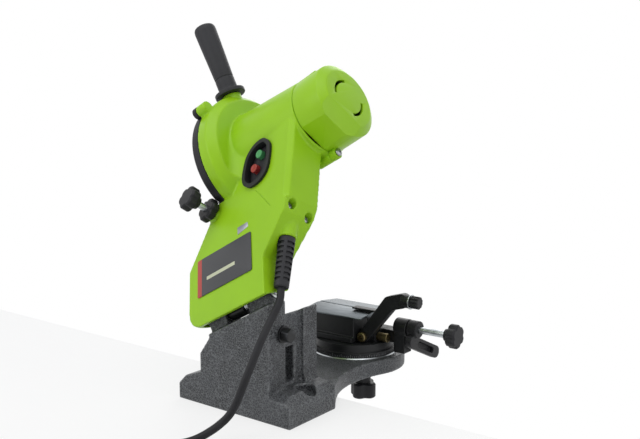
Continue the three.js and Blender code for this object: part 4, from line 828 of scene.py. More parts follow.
def power_lead():
    """One curve from the boot through the free run and the coil, with where it starts and ends."""
    coil, lead, tail = coil_route()
    exit_point = GLAND @ Vector((0, 0, -RELIEF_LENGTH * MM))
    out = (exit_point - GLAND.translation).normalized()
    start = exit_point / MM
    free = [start + out * 0.3, start + out * 14] + [Vector(p) for p in FREE_RUN]
    free += [coil[0] + lead * 14, coil[0] + lead * 0.3]
    points = through(free, 3)[:-1] + coil
    curve = bpy.data.curves.new("power_lead", "CURVE")
    curve.dimensions = "3D"
    curve.resolution_u = 6
    curve.bevel_depth = CORD_RADIUS * MM
    curve.bevel_resolution = 6
    curve.use_fill_caps = True
    spline = curve.splines.new("BEZIER")
    spline.bezier_points.add(len(points) - 1)
    for knot, point in zip(spline.bezier_points, points):
        knot.co = point * MM
        knot.handle_left_type = knot.handle_right_type = "AUTO"
    piece = bpy.data.objects.new("power_lead", curve)
    scene.collection.objects.link(piece)
    return piece, exit_point, points, tail


lead_piece, lead_exit, lead_points, lead_tail = power_lead()
length = sum((b - a).length for a, b in zip(lead_points, lead_points[1:]))
print("lead points", len(lead_points), "length, mm", round(length, 1))

# %% [markdown]
# The plug is a moulded two-pin one. Its body is a soft oval that narrows to the neck, so it is built as
# rings of points from the neck to the front, and the two round pins are turned with a rounded tip.

# %% Plug
def ringed(name, rings, matrix):
    """A closed skin over rings of equally many points, in millimetres."""
    bm = bmesh.new()
    rows = [[bm.verts.new(p) for p in ring] for ring in rings]
    for low, high in zip(rows, rows[1:]):
        for k in range(len(low)):
            j = (k + 1) % len(low)
            bm.faces.new((low[k], low[j], high[j], high[k]))
    bm.faces.new(rows[0])
    bm.faces.new(rows[-1])
    return smooth_faces(in_place(name, bm, matrix), 50.0)


def plug_frame():
    """The end of the coil's straight tail: +Z ahead, and the flat of the plug level with the bench."""
    ahead = lead_tail.normalized()
    side = Vector((0, 0, 1)).cross(ahead)
    matrix = Matrix((side, Vector((0, 0, 1)), ahead)).transposed().to_4x4()
    matrix.translation = (lead_points[-1] + ahead * 0.3) * MM
    return matrix


PLUG_SHAPE = [(0, 5.6, 5.6), (1.2, 6.4, 6.4), (14, 7.4, 7.2), (17, 10.5, 8.6), (22, 15.2, 10.9),
              (28, 17.1, 12.1), (36, 17.4, 12.3), (45, 16.9, 12.1), (49.5, 16.3, 11.7), (51.6, 15.0, 10.6),
              (52, 14.0, 9.8)]  # height, half width, half depth


def plug_body(matrix, sides=48):
    rings = []
    for height, wide, deep in PLUG_SHAPE:
        turns = (2 * math.pi * k / sides for k in range(sides))
        rings.append([(wide * math.cos(a), deep * math.sin(a), height) for a in turns])
    return ringed("plug_body", rings, matrix)


PIN_SHAPE, PIN_OFFSET = [(0, 51.5), (2.4, 51.5), (2.4, 70.0), (1.2, 71.0), (0, 71.0)], 9.5
plug_place = plug_frame()
plug_piece = plug_body(plug_place)
pins = [lathe(f"plug_pin_{i + 1}", PIN_SHAPE, place(plug_place, side * PIN_OFFSET, 0, 0), 32, 0.8)
        for i, side in enumerate((-1, 1))]
fit(plug_piece, "base", "black_plastic", "black", "plug")
for pin in pins:
    fit(pin, "base", "brass", "brass")
print("plug pieces", made)

# %% [markdown]
# The lead gets its finish, and it lies on the bench and so rides on the base. The imported cord and coil
# are hidden.

# %% The lead's finish and body
lead_piece.data.materials.append(PAINT["jacket"])
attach(lead_piece, "base")
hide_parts("power_cord", "cord_coil")
made.append(lead_piece.name)

# %% [markdown]
# The switch sits on the arm's back behind a rim shaped like a slanted leaf, which is neither an oval nor a
# slot. Thirteen corner points measured on the arm's back give its outline, and cutting each corner off
# three times rounds them. The wall, the rim and the core all use the same outline, drawn in by a margin.

# %% The switch's outline
LEAF = [(52, 170), (61, 168), (68, 158.5), (67.5, 147), (62.5, 128.5), (54, 120.5), (43, 116.8),
        (31, 117.3), (22, 125), (20.5, 135), (24.5, 149), (29, 159), (40, 167.5)]


def leaf(name, inset, low, high):
    """The switch's slanted leaf outline on the arm's back, drawn in by a margin, between two depths."""
    points = [Vector(p) for p in LEAF]
    for _ in range(3):
        pairs = list(zip(points, points[1:] + points[:1]))
        points = [p.lerp(q, share) for p, q in pairs for share in (0.25, 0.75)]
    drawn = []
    for before, here, after in zip(points[-1:] + points[:-1], points, points[1:] + points[:1]):
        along = (after - before).normalized()
        drawn.append(tuple(here + Vector((along.y, -along.x)) * inset))
    return prism(name, drawn, low, high, BACK)


print("leaf corners", len(LEAF))

# %% [markdown]
# The head is one painted casting: an arm with a rounded foot, the motor's tube and the wheel's guard. The
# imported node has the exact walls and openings, but its tube and its guard are polygons. Finer rings are
# made for both, cut back where the switch and the wheel's opening are.

# %% Skins of the tube and the guard
def guard_opening(low, high):
    """The half space that leaves the wheel open to the chain, between two places along the shaft."""
    turn = place(HEAD, 0, MOTOR_Y, MOTOR_Z) @ Matrix.Rotation(-math.radians(22.0), 4, "X")
    return block("opening", (low, 38.0, -170.0), (high, 200.0, 170.0), turn)


def tube_skin():
    wall = [(50.6, 8.0), (52.03, 8.0), (44.53, 104.0), (43.1, 104.0), (50.6, 8.0)]
    ring = lathe("tube_skin", wall, MOTOR, 160, 0)
    arm_room = block("room", (-60, -22.0, 100), (110, 23.0, MOTOR_Z), HEAD)
    return carve(ring, arm_room, leaf("pocket", -0.3, 22.0, 40.0))


def guard_skin():
    ring = lathe("guard_skin", [(78.6, -13.0), (80.03, -13.0), (80.03, 1.0), (71.03, 10.0), (69.2, 10.0),
                                (78.6, 0.6), (78.6, -13.0)], MOTOR, 180, 0)
    return carve(ring, guard_opening(-20, 20))


print("skins", tube_skin.__name__, guard_skin.__name__)

# %% [markdown]
# Three small parts fill what the softening would thin or blur: a bar behind the flat strip on the arm's
# edge, the hollow where the guard runs into the arm, and a thicker wall round the switch. They are made
# straight, because the softening rounds them together with the rest.

# %% Fillings behind the walls
def strip_backing():
    """A bar behind the flat strip on the arm's edge, so that the wall stays thick under it."""
    rise = Vector((17.0, 0, 92.0)).normalized()
    across = Vector((rise.z, 0, -rise.x))
    corner = Matrix((across, (0, 1, 0), rise)).transposed().to_4x4()
    corner.translation = Vector((86, -22, 84)) * MM
    return prism("backing", [(-6.4, 0.9), (-0.9, 4.6), (-0.9, 7), (-9, 7), (-9, 0.9)], 1.5, 90.0, HEAD @ corner)


def drum_blend():
    """The wide hollow where the guard's flat face runs into the arm's back."""
    hollow = [(9.6, -21.6)] + arc(26, -38, 16.2, 90, 180, 16) + [(9.6, -38)]
    bar = prism("blend", hollow, 114.0, 190.0, HEAD)
    disc = lathe("disc", [(0, 5.0), (70.4, 5.0), (70.4, 40.0), (0, 40.0)], MOTOR, 120, 0)
    return carve(bar, disc, how="INTERSECT")


def switch_wall():
    """The arm's wall round the switch, so that its opening can be cut to the leaf outline."""
    points = arc(0, 14.5, 13.6, 0, 180, 24) + arc(0, -14.5, 13.6, 180, 360, 24)
    return prism("wall", points, 19.6, 22.0, SWITCH)


print("fillings", strip_backing.__name__, drum_blend.__name__, switch_wall.__name__)

# %% [markdown]
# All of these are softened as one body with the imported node. Only then are the switch's opening and the
# parting groove across the arm cut, so that their edges stay crisp.

# %% Head casting
head_skins = [tube_skin(), guard_skin(), strip_backing(), drum_blend(), switch_wall()]
head_shell = moulded("head_casting", "head_shell", HEAD, voxel=1.15, smoothing=5, skins=head_skins)
PARTING = [(39.6, 111.2), (60.6, 83.1), (61.1, 83.5), (40.1, 111.6)]
carve(head_shell, leaf("opening", 1.8, 12.0, 30.0), prism("parting", PARTING, 21.6, 24.0, BACK))
fit(head_shell, "head", "green_shell", "green", "head_casting")
print("head shell faces", len(head_shell.data.polygons))

# %% [markdown]
# The base is a heavy casting in hammered paint: foot, column, hinge ears and the lobe for the vise.
# Sharp edges would give the casting away, so its copy is remeshed, a little coarser than the head's, and
# softened. Only the lobe's round side needs a finer skin first.

# %% Base casting
LOBE_SKIN = [(60.4, 8.0), (62.03, 8.0), (62.03, 26.0), (60.4, 26.0), (60.4, 8.0)]
lobe_skin = lathe("lobe_skin", LOBE_SKIN, VISE, 180, 0)
carve(lobe_skin, block("room", (-80, -70, 0), (90, -21.2, 30), VISE))
base_body = moulded("base_casting", "base_body", ORIGIN, voxel=1.3, smoothing=4, skins=[lobe_skin])
fit(base_body, "base", "hammered_grey", "cast", "base_casting")
print("base faces", len(base_body.data.polygons))

# %% [markdown]
# Screws, relief slots, knob lobes, the scale and the spring repeat one shape by a rule. Each could be
# copied by hand, but a geometry node tree states the rule once, with its sizes as named inputs. The result
# is made a plain mesh straight away.

# %% Helpers for geometry trees
GEOMETRY, COUNT, MATERIAL = "NodeSocketGeometry", "NodeSocketInt", "NodeSocketMaterial"


def new_tree(name, *inputs):
    tree, start, end = new_group(name, [("Geometry", GEOMETRY, None), *inputs, ("Finish", MATERIAL, None)],
                                 [("Geometry", GEOMETRY)], "GeometryNodeTree")
    tree.is_modifier = True
    return tree, start.outputs, end


def finish_tree(tree, start, end, shape):
    real = add(tree, "GeometryNodeRealizeInstances", {"Geometry": shape})
    painted = add(tree, "GeometryNodeSetMaterial", {"Geometry": real.outputs[0], "Material": start["Finish"]})
    tree.links.new(painted.outputs[0], end.inputs[0])
    return tree


def grown(tree, name, paint, base=None, **values):
    """Runs a tree on a piece, or on nothing, and keeps the result as a plain mesh in the piece's frame."""
    piece = base or new_piece(name, bmesh.new())
    values["Finish"] = PAINT[paint]
    step = piece.modifiers.new("grow", "NODES")
    step.node_group = tree
    for socket in tree.interface.items_tree:
        key = socket.name.replace(" ", "_")
        if socket.in_out == "INPUT" and key in values:
            step[socket.identifier] = values[key]
    settle(piece)
    return piece


def set_down(piece, matrix, angle=32.0):
    """Carries a piece that was made round the origin, in metres, to its place."""
    piece.data.transform(matrix)
    return smooth_faces(piece, angle)


print("helpers", new_tree.__name__, finish_tree.__name__, grown.__name__, set_down.__name__)

# %% [markdown]
# The motor's tube ends in a pressed cap with two C-shaped air slots and two screw ears. It is turned as a
# hollow shell, so that the slots show real depth, and everything else is joined to it or cut from it.

# %% Motor cap
CAP_END = 147.0
FLAT_TURN = 157.0  # degrees round the motor
EARS = [(-10.0, 48.8), (164.0, 48.8)]  # degrees round the motor, reach
CAP_PROFILE = [(0, 144.0), (14.3, 144.0), (14.3, 117.0), (17.8, 117.0), (17.8, 144.0), (22.5, 144.0),
               (38.0, 124.5), (38.2, 104.3), (44.0, 104.3), (43.3, 140.5), (34.0, CAP_END), (0, CAP_END)]


def round_motor(degrees, reach):
    """Y and Z of a place round the motor's axis, its angle from straight up towards the front."""
    return MOTOR_Y + reach * math.sin(math.radians(degrees)), MOTOR_Z + reach * math.cos(math.radians(degrees))


def air_slot(start, sweep=84, inner=18.5, outer=21.9):
    """A C-shaped slot through the cap's end."""
    ring = arc(0, 0, outer, start, start + sweep, 28) + arc(0, 0, inner, start + sweep, start, 28)
    side = HEAD @ Matrix(((0, 0, 1, 0), (1, 0, 0, MOTOR_Y * MM), (0, 1, 0, MOTOR_Z * MM), (0, 0, 0, 1)))
    return prism("slot", ring, CAP_END - 4.0, CAP_END + 2.0, side)


def ear(degrees, reach, start, end, hole=2.6, radius=6.3):
    """A round lug for a screw on the cap's side."""
    y, z = round_motor(degrees, reach)
    ring = [(hole, start), (radius, start), (radius, end), (hole, end), (hole, start)]
    return lathe("ear", ring, place(HEAD, 0, y, z, "x"), 48, 0.4)


def cap_flat():
    """The flat on the cap's lower back and the slope from it to the end, as one tool to cut with."""
    turn = place(HEAD, 0, MOTOR_Y, MOTOR_Z) @ Matrix.Rotation(math.radians(FLAT_TURN), 4, "X")
    past = [(104.0, 40.2), (138.0, 40.2), (147.6, 21.9), (160.0, 21.9), (160.0, 70.0), (104.0, 70.0)]
    return prism("flat", past, -60.0, 60.0, turn @ Matrix.Rotation(math.pi / 2, 4, "X"))


cap = lathe("motor_cap_shell", CAP_PROFILE, MOTOR, 160, 1.2)
carve(cap, air_slot(103), air_slot(283), cap_flat())
carve(cap, *[ear(angle, reach, 104.3, 112.3) for angle, reach in EARS], how="UNION")
fit(eased(cap, 0.6, angle=14.0), "head", "green_shell", "green", "motor_cap")
print("cap faces", len(cap.data.polygons))

# %% [markdown]
# All of the head's screws are the same cross-recessed pan head. One is turned and cut, and the tree puts
# it on points that remember which way they face. The two side screws sit deep in their holes.

# %% Tree: screws on marked points
def screw_tree():
    tree, start, end = new_tree("ScrewsOnPoints", ("Screw", "NodeSocketObject", None), ("Seed", COUNT, 4))
    screw = add(tree, "GeometryNodeObjectInfo", {"Object": start["Screw"]}).outputs["Geometry"]
    facing = add(tree, "GeometryNodeInputNamedAttribute", {"Name": "facing"}, data_type="FLOAT_VECTOR").outputs[0]
    spin = add(tree, "FunctionNodeRandomValue", {"Seed": start["Seed"], "Min": (0, 0, 0), "Max": (0, 0, 1.5)},
               data_type="FLOAT_VECTOR").outputs[0]
    aimed = add(tree, "FunctionNodeAlignRotationToVector", {"Rotation": spin, "Vector": facing},
                axis="Z").outputs[0]
    copies = add(tree, "GeometryNodeInstanceOnPoints", {"Points": start["Geometry"], "Instance": screw,
                                                        "Rotation": aimed}).outputs[0]
    return finish_tree(tree, start, end, copies)


SCREWS = screw_tree()
print("tree", SCREWS.name)

# %% [markdown]
# Two points come from the numbers of the cap's ears, two lie in the holes of the arm's side, and one is on
# the guard's lug. The screw itself is only a model for the tree, and it is removed as soon as the five
# copies are real.

# %% Screws of the head
def pan_screw():
    """A pan head with a cross cut into it, on a short shank."""
    side = [(0, -4.0), (2.2, -4.0), (2.2, 0), (4.3, 0), (4.3, 1.3), (3.5, 2.5), (2.0, 3.0), (0, 3.0)]
    screw = lathe("screw", side, ORIGIN, 40, 0.4)
    return carve(screw, block("cross", (-2.2, -0.5, 1.6), (2.2, 0.5, 4.0), ORIGIN),
                 block("cross", (-0.5, -2.2, 1.6), (0.5, 2.2, 4.0), ORIGIN))


def marked_points(spots, frame_matrix):
    """Loose points, in millimetres of a frame, that remember which way each one faces."""
    mesh = bpy.data.meshes.new("points")
    mesh.from_pydata([frame_matrix @ (Vector(at) * MM) for at, _ in spots], [], [])
    turned = [frame_matrix.to_3x3() @ Vector(facing) for _, facing in spots]
    mark = mesh.attributes.new("facing", "FLOAT_VECTOR", "POINT")
    mark.data.foreach_set("vector", [c for v in turned for c in v])
    piece = bpy.data.objects.new("points", mesh)
    scene.collection.objects.link(piece)
    return piece


def side_face(height):
    """X of the arm's slanted side face at a height."""
    return 80.0 + 6.0 * (height - 70.0) / 14.0


GUARD_LUG = round_motor(-64.0, 84.9)
screw_spots = [((112.6, *round_motor(*spot)), (1, 0, 0)) for spot in EARS]
screw_spots += [((side_face(z) - 7.7, y, z), (1, 0, 0)) for y, z in ((-11.3, 78.9), (14.2, 72.4))]
screw_spots += [((-19.3, *GUARD_LUG), (-1, 0, 0))]
screw_model = pan_screw()
head_screws = grown(SCREWS, "head_screws", "steel", marked_points(screw_spots, HEAD), Screw=screw_model, Seed=4)
bpy.data.objects.remove(screw_model)
head_screws.name = "head_screws"
fit(smooth_faces(head_screws), "head", "steel", "steel", "cap_screw_1", "cap_screw_2", "side_screw_1",
    "side_screw_2", "guard_screw")
print("screws on the head", len(screw_spots))

# %% [markdown]
# The wheel's left side is closed by a black moulded cover with a wide round opening. It is a turned bowl
# with a lug, cut open where the wheel meets the chain and hollowed where the lock knob turns.

# %% Guard cover
BOWL = [(25.0, -26.0), (77.0, -26.0), (80.0, -23.0), (80.0, -13.3), (77.0, -13.3), (77.0, -23.0), (25.0, -23.0),
        (25.0, -26.0)]
guard_cover = lathe("guard_cover_shell", BOWL, MOTOR, 180, 0.9)
cover_lug = lathe("lug", [(2.7, -19.0), (7.0, -19.0), (7.0, -13.3), (2.7, -13.3), (2.7, -19.0)],
                  place(HEAD, 0, *GUARD_LUG, "x"), 48, 0.4)
inside = lathe("inside", [(0, -22.9), (77.0, -22.9), (77.0, -12.0), (0, -12.0)], MOTOR, 180, 0)
knob_room = lathe("room", [(0, -35.5), (14.6, -35.5), (14.6, -23.5), (0, -23.5)], place(DEPTH_LINE, axis="y"),
                  64, 0)
carve(cover_lug, inside)
carve(guard_cover, cover_lug, how="UNION")
carve(guard_cover, guard_opening(-30, -10), knob_room)
fit(eased(guard_cover, 0.5, angle=50.0), "head", "black_plastic", "black", "guard_cover")
print("guard cover faces", len(guard_cover.data.polygons))

# %% [markdown]
# The hand grip is one turned plastic piece that stands on the guard: a wide foot, a narrow neck with a
# parting seam, and a body that swells towards a rounded end.

# %% Hand grip
GRIP_STAND = 84.0  # from the motor's axis to the grip's foot
GRIP_FOOT = (-5, MOTOR_Y - GRIP_STAND * math.sin(LEAN), MOTOR_Z + GRIP_STAND * math.cos(LEAN))
GRIP = place(HEAD, *GRIP_FOOT) @ Matrix.Rotation(LEAN, 4, "X")
GRIP_PROFILE = [(0, 0.3), (18.5, 0.3), (18.5, 5.0), (13.4, 5.2), (12.0, 7.2), (11.6, 10.0), (11.6, 21.6),
                (11.0, 22.0), (11.0, 23.0), (11.6, 23.4), (12.1, 40.0), (13.0, 70.0), (13.4, 87.0), (13.1, 90.4),
                (12.0, 92.6), (9.6, 94.0), (0, 94.0)]
grip = lathe("handle_grip_body", GRIP_PROFILE, GRIP, 96, 0.8)
fit(grip, "head", "black_plastic", "grip", "handle_grip")
print("grip faces", len(grip.data.polygons))

# %% [markdown]
# The switch's housing follows the leaf outline. Its rim stands on the arm, its sleeve goes through the
# wall, and the green and the red button sit in two wells of its core, so that each can be pushed in by its
# joint. The rim's edge gets a wide bevel, as soft plastic has.

# %% Switch rim and core
BUTTON_OFFSET = 8.4
WELL = [(0, 10.6), (5.3, 10.6), (5.3, 18.0), (0, 18.0)]
switch_rim = leaf("switch_rim", 0.0, 22.3, 25.5)
carve(switch_rim, leaf("sleeve", 2.2, 13.0, 23.0), how="UNION")
carve(switch_rim, leaf("opening", 4.7, 12.0, 27.0))
fit(eased(switch_rim, 1.1, angle=40.0, segments=3), "head", "black_plastic", "black", "switch_bezel")
switch_core = leaf("switch_core", 5.0, 5.0, 17.0)
carve(switch_core, *[lathe("well", WELL, place(SWITCH, 0, side * BUTTON_OFFSET), 48, 0) for side in (-1, 1)])
fit(eased(switch_core, 0.4, angle=40.0), "head", "black_plastic", "grip", "switch_body")
print("switch rim faces", len(switch_rim.data.polygons))

# %% [markdown]
# A button is a short turned plunger with a slightly hollow face, where the finger rests. Both come from one
# profile, and each rides on a body of its own.

# %% Buttons
BUTTON = [(0, 13.4), (5.0, 13.4), (5.0, 22.0), (4.5, 22.6), (3.6, 22.6), (2.6, 22.3), (0, 22.2)]
for side, name, slot in ((1, "on", "button_green"), (-1, "off", "button_red")):
    push = lathe(f"push_{name}", BUTTON, place(SWITCH, 0, side * BUTTON_OFFSET), 64, 0.3)
    fit(push, f"{name}_button", slot, name, f"button_{name}")
print("buttons", made[-2:])

# %% [markdown]
# The gland holds a moulded boot that bends with the lead. Its slots are cut from one turned body, by arcs
# that the tree puts in rows of four and makes smaller towards the thin end.

# %% Tree: slots round a tapered boot
def slot_tree():
    tree, start, end = new_tree("ReliefSlots", ("Rows", COUNT, 8), ("Step", FLOAT, 0.005625),
                                ("Start", FLOAT, 0.007), ("Radius", FLOAT, 0.009), ("Taper", FLOAT, 2.4),
                                ("Depth", FLOAT, 0.0013), ("Slot", FLOAT, 0.0026), ("Sweep", FLOAT, 1.1))
    arc_line = add(tree, "GeometryNodeCurveArc", {
        "Resolution": 12, "Radius": start["Radius"], "Sweep Angle": start["Sweep"],
        "Start Angle": maths(tree, "MULTIPLY", start["Sweep"], -0.5)}, mode="RADIUS").outputs[0]
    wide = maths(tree, "MULTIPLY", start["Depth"], 2.0)
    section = add(tree, "GeometryNodeCurvePrimitiveQuadrilateral", {"Width": wide, "Height": start["Slot"]},
                  mode="RECTANGLE").outputs[0]
    cutter = add(tree, "GeometryNodeCurveToMesh", {"Curve": arc_line, "Profile Curve": section,
                                                   "Fill Caps": True}).outputs[0]
    places = add(tree, "GeometryNodeMeshLine", {"Count": maths(tree, "MULTIPLY", start["Rows"], 4.0),
                                                "Offset": (0, 0, 0)}).outputs[0]
    index = add(tree, "GeometryNodeInputIndex").outputs[0]
    row = maths(tree, "FLOOR", maths(tree, "DIVIDE", index, 4.0))
    depth = maths(tree, "MULTIPLY", maths(tree, "MULTIPLY_ADD", row, start["Step"], start["Start"]), -1.0)
    at = add(tree, "ShaderNodeCombineXYZ", {"Z": depth}).outputs[0]
    spaced = add(tree, "GeometryNodeSetPosition", {"Geometry": places, "Position": at}).outputs[0]
    quarter = maths(tree, "MULTIPLY", maths(tree, "MODULO", index, 4.0), math.pi / 2)
    turn = add(tree, "ShaderNodeCombineXYZ", {"Z": quarter}).outputs[0]
    narrow = maths(tree, "MULTIPLY_ADD", depth, start["Taper"], 1.0)
    size = add(tree, "ShaderNodeCombineXYZ", {"X": narrow, "Y": narrow, "Z": 1.0}).outputs[0]
    copies = add(tree, "GeometryNodeInstanceOnPoints", {"Points": spaced, "Instance": cutter, "Rotation": turn,
                                                        "Scale": size}).outputs[0]
    return finish_tree(tree, start, end, copies)


SLOTS = slot_tree()
print("tree", SLOTS.name)

# %% [markdown]
# The boot itself is turned. Its slots are about 2 millimetres deep, real cuts and not a bump, because their
# dark gaps are what the eye reads as a flexible boot.

# %% Strain relief
BOOT = [(0, -RELIEF_LENGTH), (6.9, -RELIEF_LENGTH), (7.8, -54.0), (9.0, -1.2), (8.6, -0.3), (6.3, -0.3),
        (6.3, 10.0), (0, 10.0)]
boot = lathe("relief_boot", BOOT, ORIGIN, 96, 0.4)
slots = grown(SLOTS, "slots", "black", Rows=8, Step=0.005625, Start=0.0075, Radius=0.0092, Taper=2.4,
              Depth=0.0021, Slot=0.0031, Sweep=1.2)
carve(boot, slots)
fit(set_down(boot, GLAND, 28.0), "head", "cord_jacket", "grip", "strain_relief")
print("boot faces", len(boot.data.polygons))

# %% [markdown]
# The depth stop is a plated rod through the arm, with a star knob on its outer end and a lock knob in front
# of it. A knob is turned first and then pulled in between its lobes, so its top edge follows the lobes.

# %% Tree: lobes round a turned knob
def lobe_tree():
    tree, start, end = new_tree("KnobLobes", ("Lobes", FLOAT, 6.0), ("Depth", FLOAT, 0.002),
                                ("Sharpness", FLOAT, 2.0), ("Inner Radius", FLOAT, 0.006),
                                ("Outer Radius", FLOAT, 0.014))
    here = add(tree, "GeometryNodeInputPosition").outputs[0]
    split = add(tree, "ShaderNodeSeparateXYZ", {"Vector": here}).outputs
    angle = maths(tree, "ARCTAN2", split["Y"], split["X"])
    wave = maths(tree, "COSINE", maths(tree, "MULTIPLY", angle, start["Lobes"]))
    dip = maths(tree, "POWER", maths(tree, "MULTIPLY_ADD", wave, -0.5, 0.5), start["Sharpness"])
    flat = add(tree, "ShaderNodeCombineXYZ", {"X": split["X"], "Y": split["Y"]}).outputs[0]
    radius = add(tree, "ShaderNodeVectorMath", {0: flat}, operation="LENGTH").outputs["Value"]
    near_rim = add(tree, "ShaderNodeMapRange", {"Value": radius, "From Min": start["Inner Radius"],
                                                "From Max": start["Outer Radius"]},
                   interpolation_type="SMOOTHSTEP").outputs[0]
    inwards = add(tree, "ShaderNodeVectorMath", {0: flat}, operation="NORMALIZE").outputs[0]
    inward_depth = maths(tree, "MULTIPLY", start["Depth"], -1.0)
    reach = maths(tree, "MULTIPLY", maths(tree, "MULTIPLY", dip, near_rim), inward_depth)
    offset = add(tree, "ShaderNodeVectorMath", {0: inwards, "Scale": reach}, operation="SCALE").outputs[0]
    shaped = add(tree, "GeometryNodeSetPosition", {"Geometry": start["Geometry"], "Offset": offset}).outputs[0]
    return finish_tree(tree, start, end, shaped)


LOBES = lobe_tree()
print("tree", LOBES.name)

# %% [markdown]
# Four knobs share one look: a thick disc with lobes, a bore for its rod and, on three of them, a hub. One
# helper writes the turned profile from those few sizes and then runs the tree on it.

# %% Rods and knobs
def rod(name, radius, low, high, matrix, chamfer=0.7, segments=48):
    return lathe(name, [(0, low), (radius - chamfer, low), (radius, low + chamfer), (radius, high - chamfer),
                        (radius - chamfer, high), (0, high)], matrix, segments, 0.2)


def knob_profile(low, high, radius, hub, bore):
    """Half the section of a knob with a bore (radius, from) and an optional hub (radius, top)."""
    steps = [radius * share for share in (0.35, 0.5, 0.62, 0.74, 0.84)]
    profile = [(0, low)] + [(r, low) for r in steps] + [(radius - 1.6, low + 0.2), (radius, low + 1.8)]
    profile += [(radius, high - 1.8), (radius - 1.6, high - 0.2)] + [(r, high) for r in reversed(steps)]
    top = hub[1] if hub else high
    if hub:
        profile = [p for p in profile if p[1] < high or p[0] > hub[0] + 0.6]
        profile += [(hub[0] + 0.5, high), (hub[0], high + 0.5), hub]
    if bore[1] < low:
        return [(bore[0], low)] + profile[1:] + [(bore[0], top), (bore[0], low)]
    return profile + [(bore[0], top), bore, (0, bore[1])]


def knob(name, low, high, radius, matrix, bore, hub=None, lobes=6, dip=2.2, sharpness=2.2, segments=144):
    """A lobed knob from one height to another. The dip is how deep it goes in between its lobes."""
    piece = lathe(name, knob_profile(low, high, radius, hub, bore), ORIGIN, segments, 0.5)
    piece = grown(LOBES, name, "black", piece, Lobes=float(lobes), Depth=dip * MM, Sharpness=sharpness,
                  Inner_Radius=radius * 0.5 * MM, Outer_Radius=radius * 0.95 * MM)
    return set_down(piece, matrix, 40.0)


print("points in a star knob's profile", len(knob_profile(0.0, 12.0, 14.0, (7.0, 17.0), (4.3, 12.7))))

# %% [markdown]
# The depth stop's rod lies almost level through the arm. Its star knob and its lock knob each turn by a
# joint of their own, so they are pieces of their own too.

# %% Depth stop
ROD_RADIUS, ROD_BORE, STAR_RADIUS = 4.0, 4.3, 14.0
along = place(DEPTH_LINE, axis="y")
fit(rod("depth_stop_shaft", ROD_RADIUS, -60.0, 58.0, along), "depth_stop_rod", "zinc", "zinc", "depth_rod")
fit(knob("depth_star", -62.5, -50.5, STAR_RADIUS, along, (ROD_BORE, -60.3), hub=(7.0, -45.5)),
    "depth_stop_knob", "black_plastic", "black", "depth_knob")
fit(knob("lock_star", -34.5, -24.5, STAR_RADIUS, along, (ROD_BORE, -40.0)),
    "depth_lock", "black_plastic", "black", "depth_lock_knob")
print("depth stop", made[-3:])

# %% [markdown]
# Thin things lie on the arm: the bare label on its back, a small bare sticker above it, and the lid on its
# front side. The first two are outlines pushed through their thickness, and the lid is a copy of its node.
# All three have just enough bevel to catch the light.

# %% Label, sticker and front lid
def rounded_box(x0, x1, y0, y1, corner, steps=6):
    """A box's outline with a round at each corner."""
    middles = [(x1 - corner, y1 - corner), (x0 + corner, y1 - corner), (x0 + corner, y0 + corner),
               (x1 - corner, y0 + corner)]
    return [p for k, (x, y) in enumerate(middles) for p in arc(x, y, corner, 90 * k, 90 * (k + 1), steps)]


plate = prism("bare_label", rounded_box(-60, 30, 21, 66, 2.0), 22.3, 23.0, BACK)
fit(eased(plate, 0.2, angle=40.0), "head", "label_film", "label", "label_plate")
sticker = prism("bare_sticker", [(8.3, 71), (25.6, 74), (24.8, 79.6), (8.3, 79.6)], 21.9, 22.3, BACK)
fit(eased(sticker, 0.1, angle=40.0), "head", "label_film", "silver")
fit(milled("arm_front_cover", "front_lid", 0.9), "head", "green_shell", "green", "arm_front_cover")
print("thin pieces", made[-3:])

# %% [markdown]
# In the gap under the arm a dark barrel turns on the hinge pin, and a spring round the pin lifts the head
# again. The spring is one wire wound in a helix. Sweeping a small circle along a spiral makes it, and the
# tree keeps turns, length and wire as sizes that can be changed.

# %% Tree: a wound wire
def wire_tree():
    tree, start, end = new_tree("WoundWire", ("Turns", FLOAT, 5.0), ("Radius", FLOAT, 0.0074),
                                ("Length", FLOAT, 0.007), ("Wire", FLOAT, 0.0008), ("Steps", COUNT, 24),
                                ("Sides", COUNT, 10))
    spiral = add(tree, "GeometryNodeCurveSpiral", {
        "Resolution": start["Steps"], "Rotations": start["Turns"], "Start Radius": start["Radius"],
        "End Radius": start["Radius"], "Height": start["Length"]}).outputs[0]
    section = add(tree, "GeometryNodeCurvePrimitiveCircle", {"Resolution": start["Sides"],
                                                             "Radius": start["Wire"]}, mode="RADIUS").outputs[0]
    wound = add(tree, "GeometryNodeCurveToMesh", {"Curve": spiral, "Profile Curve": section,
                                                  "Fill Caps": True}).outputs[0]
    return finish_tree(tree, start, end, wound)


WIRE = wire_tree()
print("tree", WIRE.name)

# %% [markdown]
# The barrel is a turned sleeve joined to the web that holds it, and it is bored last, so that the bore goes
# through both.

# %% Hinge barrel and spring
hinge_axis = place(TILTED, axis="x")
head_axis = place(HEAD, axis="x")
barrel = lathe("hinge_sleeve", [(0, -28.1), (9.5, -28.1), (9.5, -4.0), (0, -4.0)], head_axis, 96, 0.8)
carve(barrel, block("web", (-28.1, -18.3, -6.0), (-4.0, -4.0, 6.0), HEAD), how="UNION")
carve(barrel, lathe("bore", [(0, -30.0), (5.3, -30.0), (5.3, -2.0), (0, -2.0)], head_axis, 64, 0))
fit(smooth_faces(barrel), "head", "black_steel", "casting", "hinge_barrel")
spring = grown(WIRE, "spring_wire", "zinc", Turns=5.0, Radius=0.0074, Length=0.0069, Wire=0.0008, Steps=40,
               Sides=12)
spring.data.transform(Matrix.Translation((0, 0, -0.0018)))
fit(set_down(spring, head_axis), "head", "zinc", "zinc", "return_spring")
print("spring faces", len(spring.data.polygons))

# %% [markdown]
# Everything that turns with the motor's shaft rides on the spindle. The wheel is thin, with one slightly
# rounded shoulder, and is held by a dished flange and a hexagon nut with turned corners.

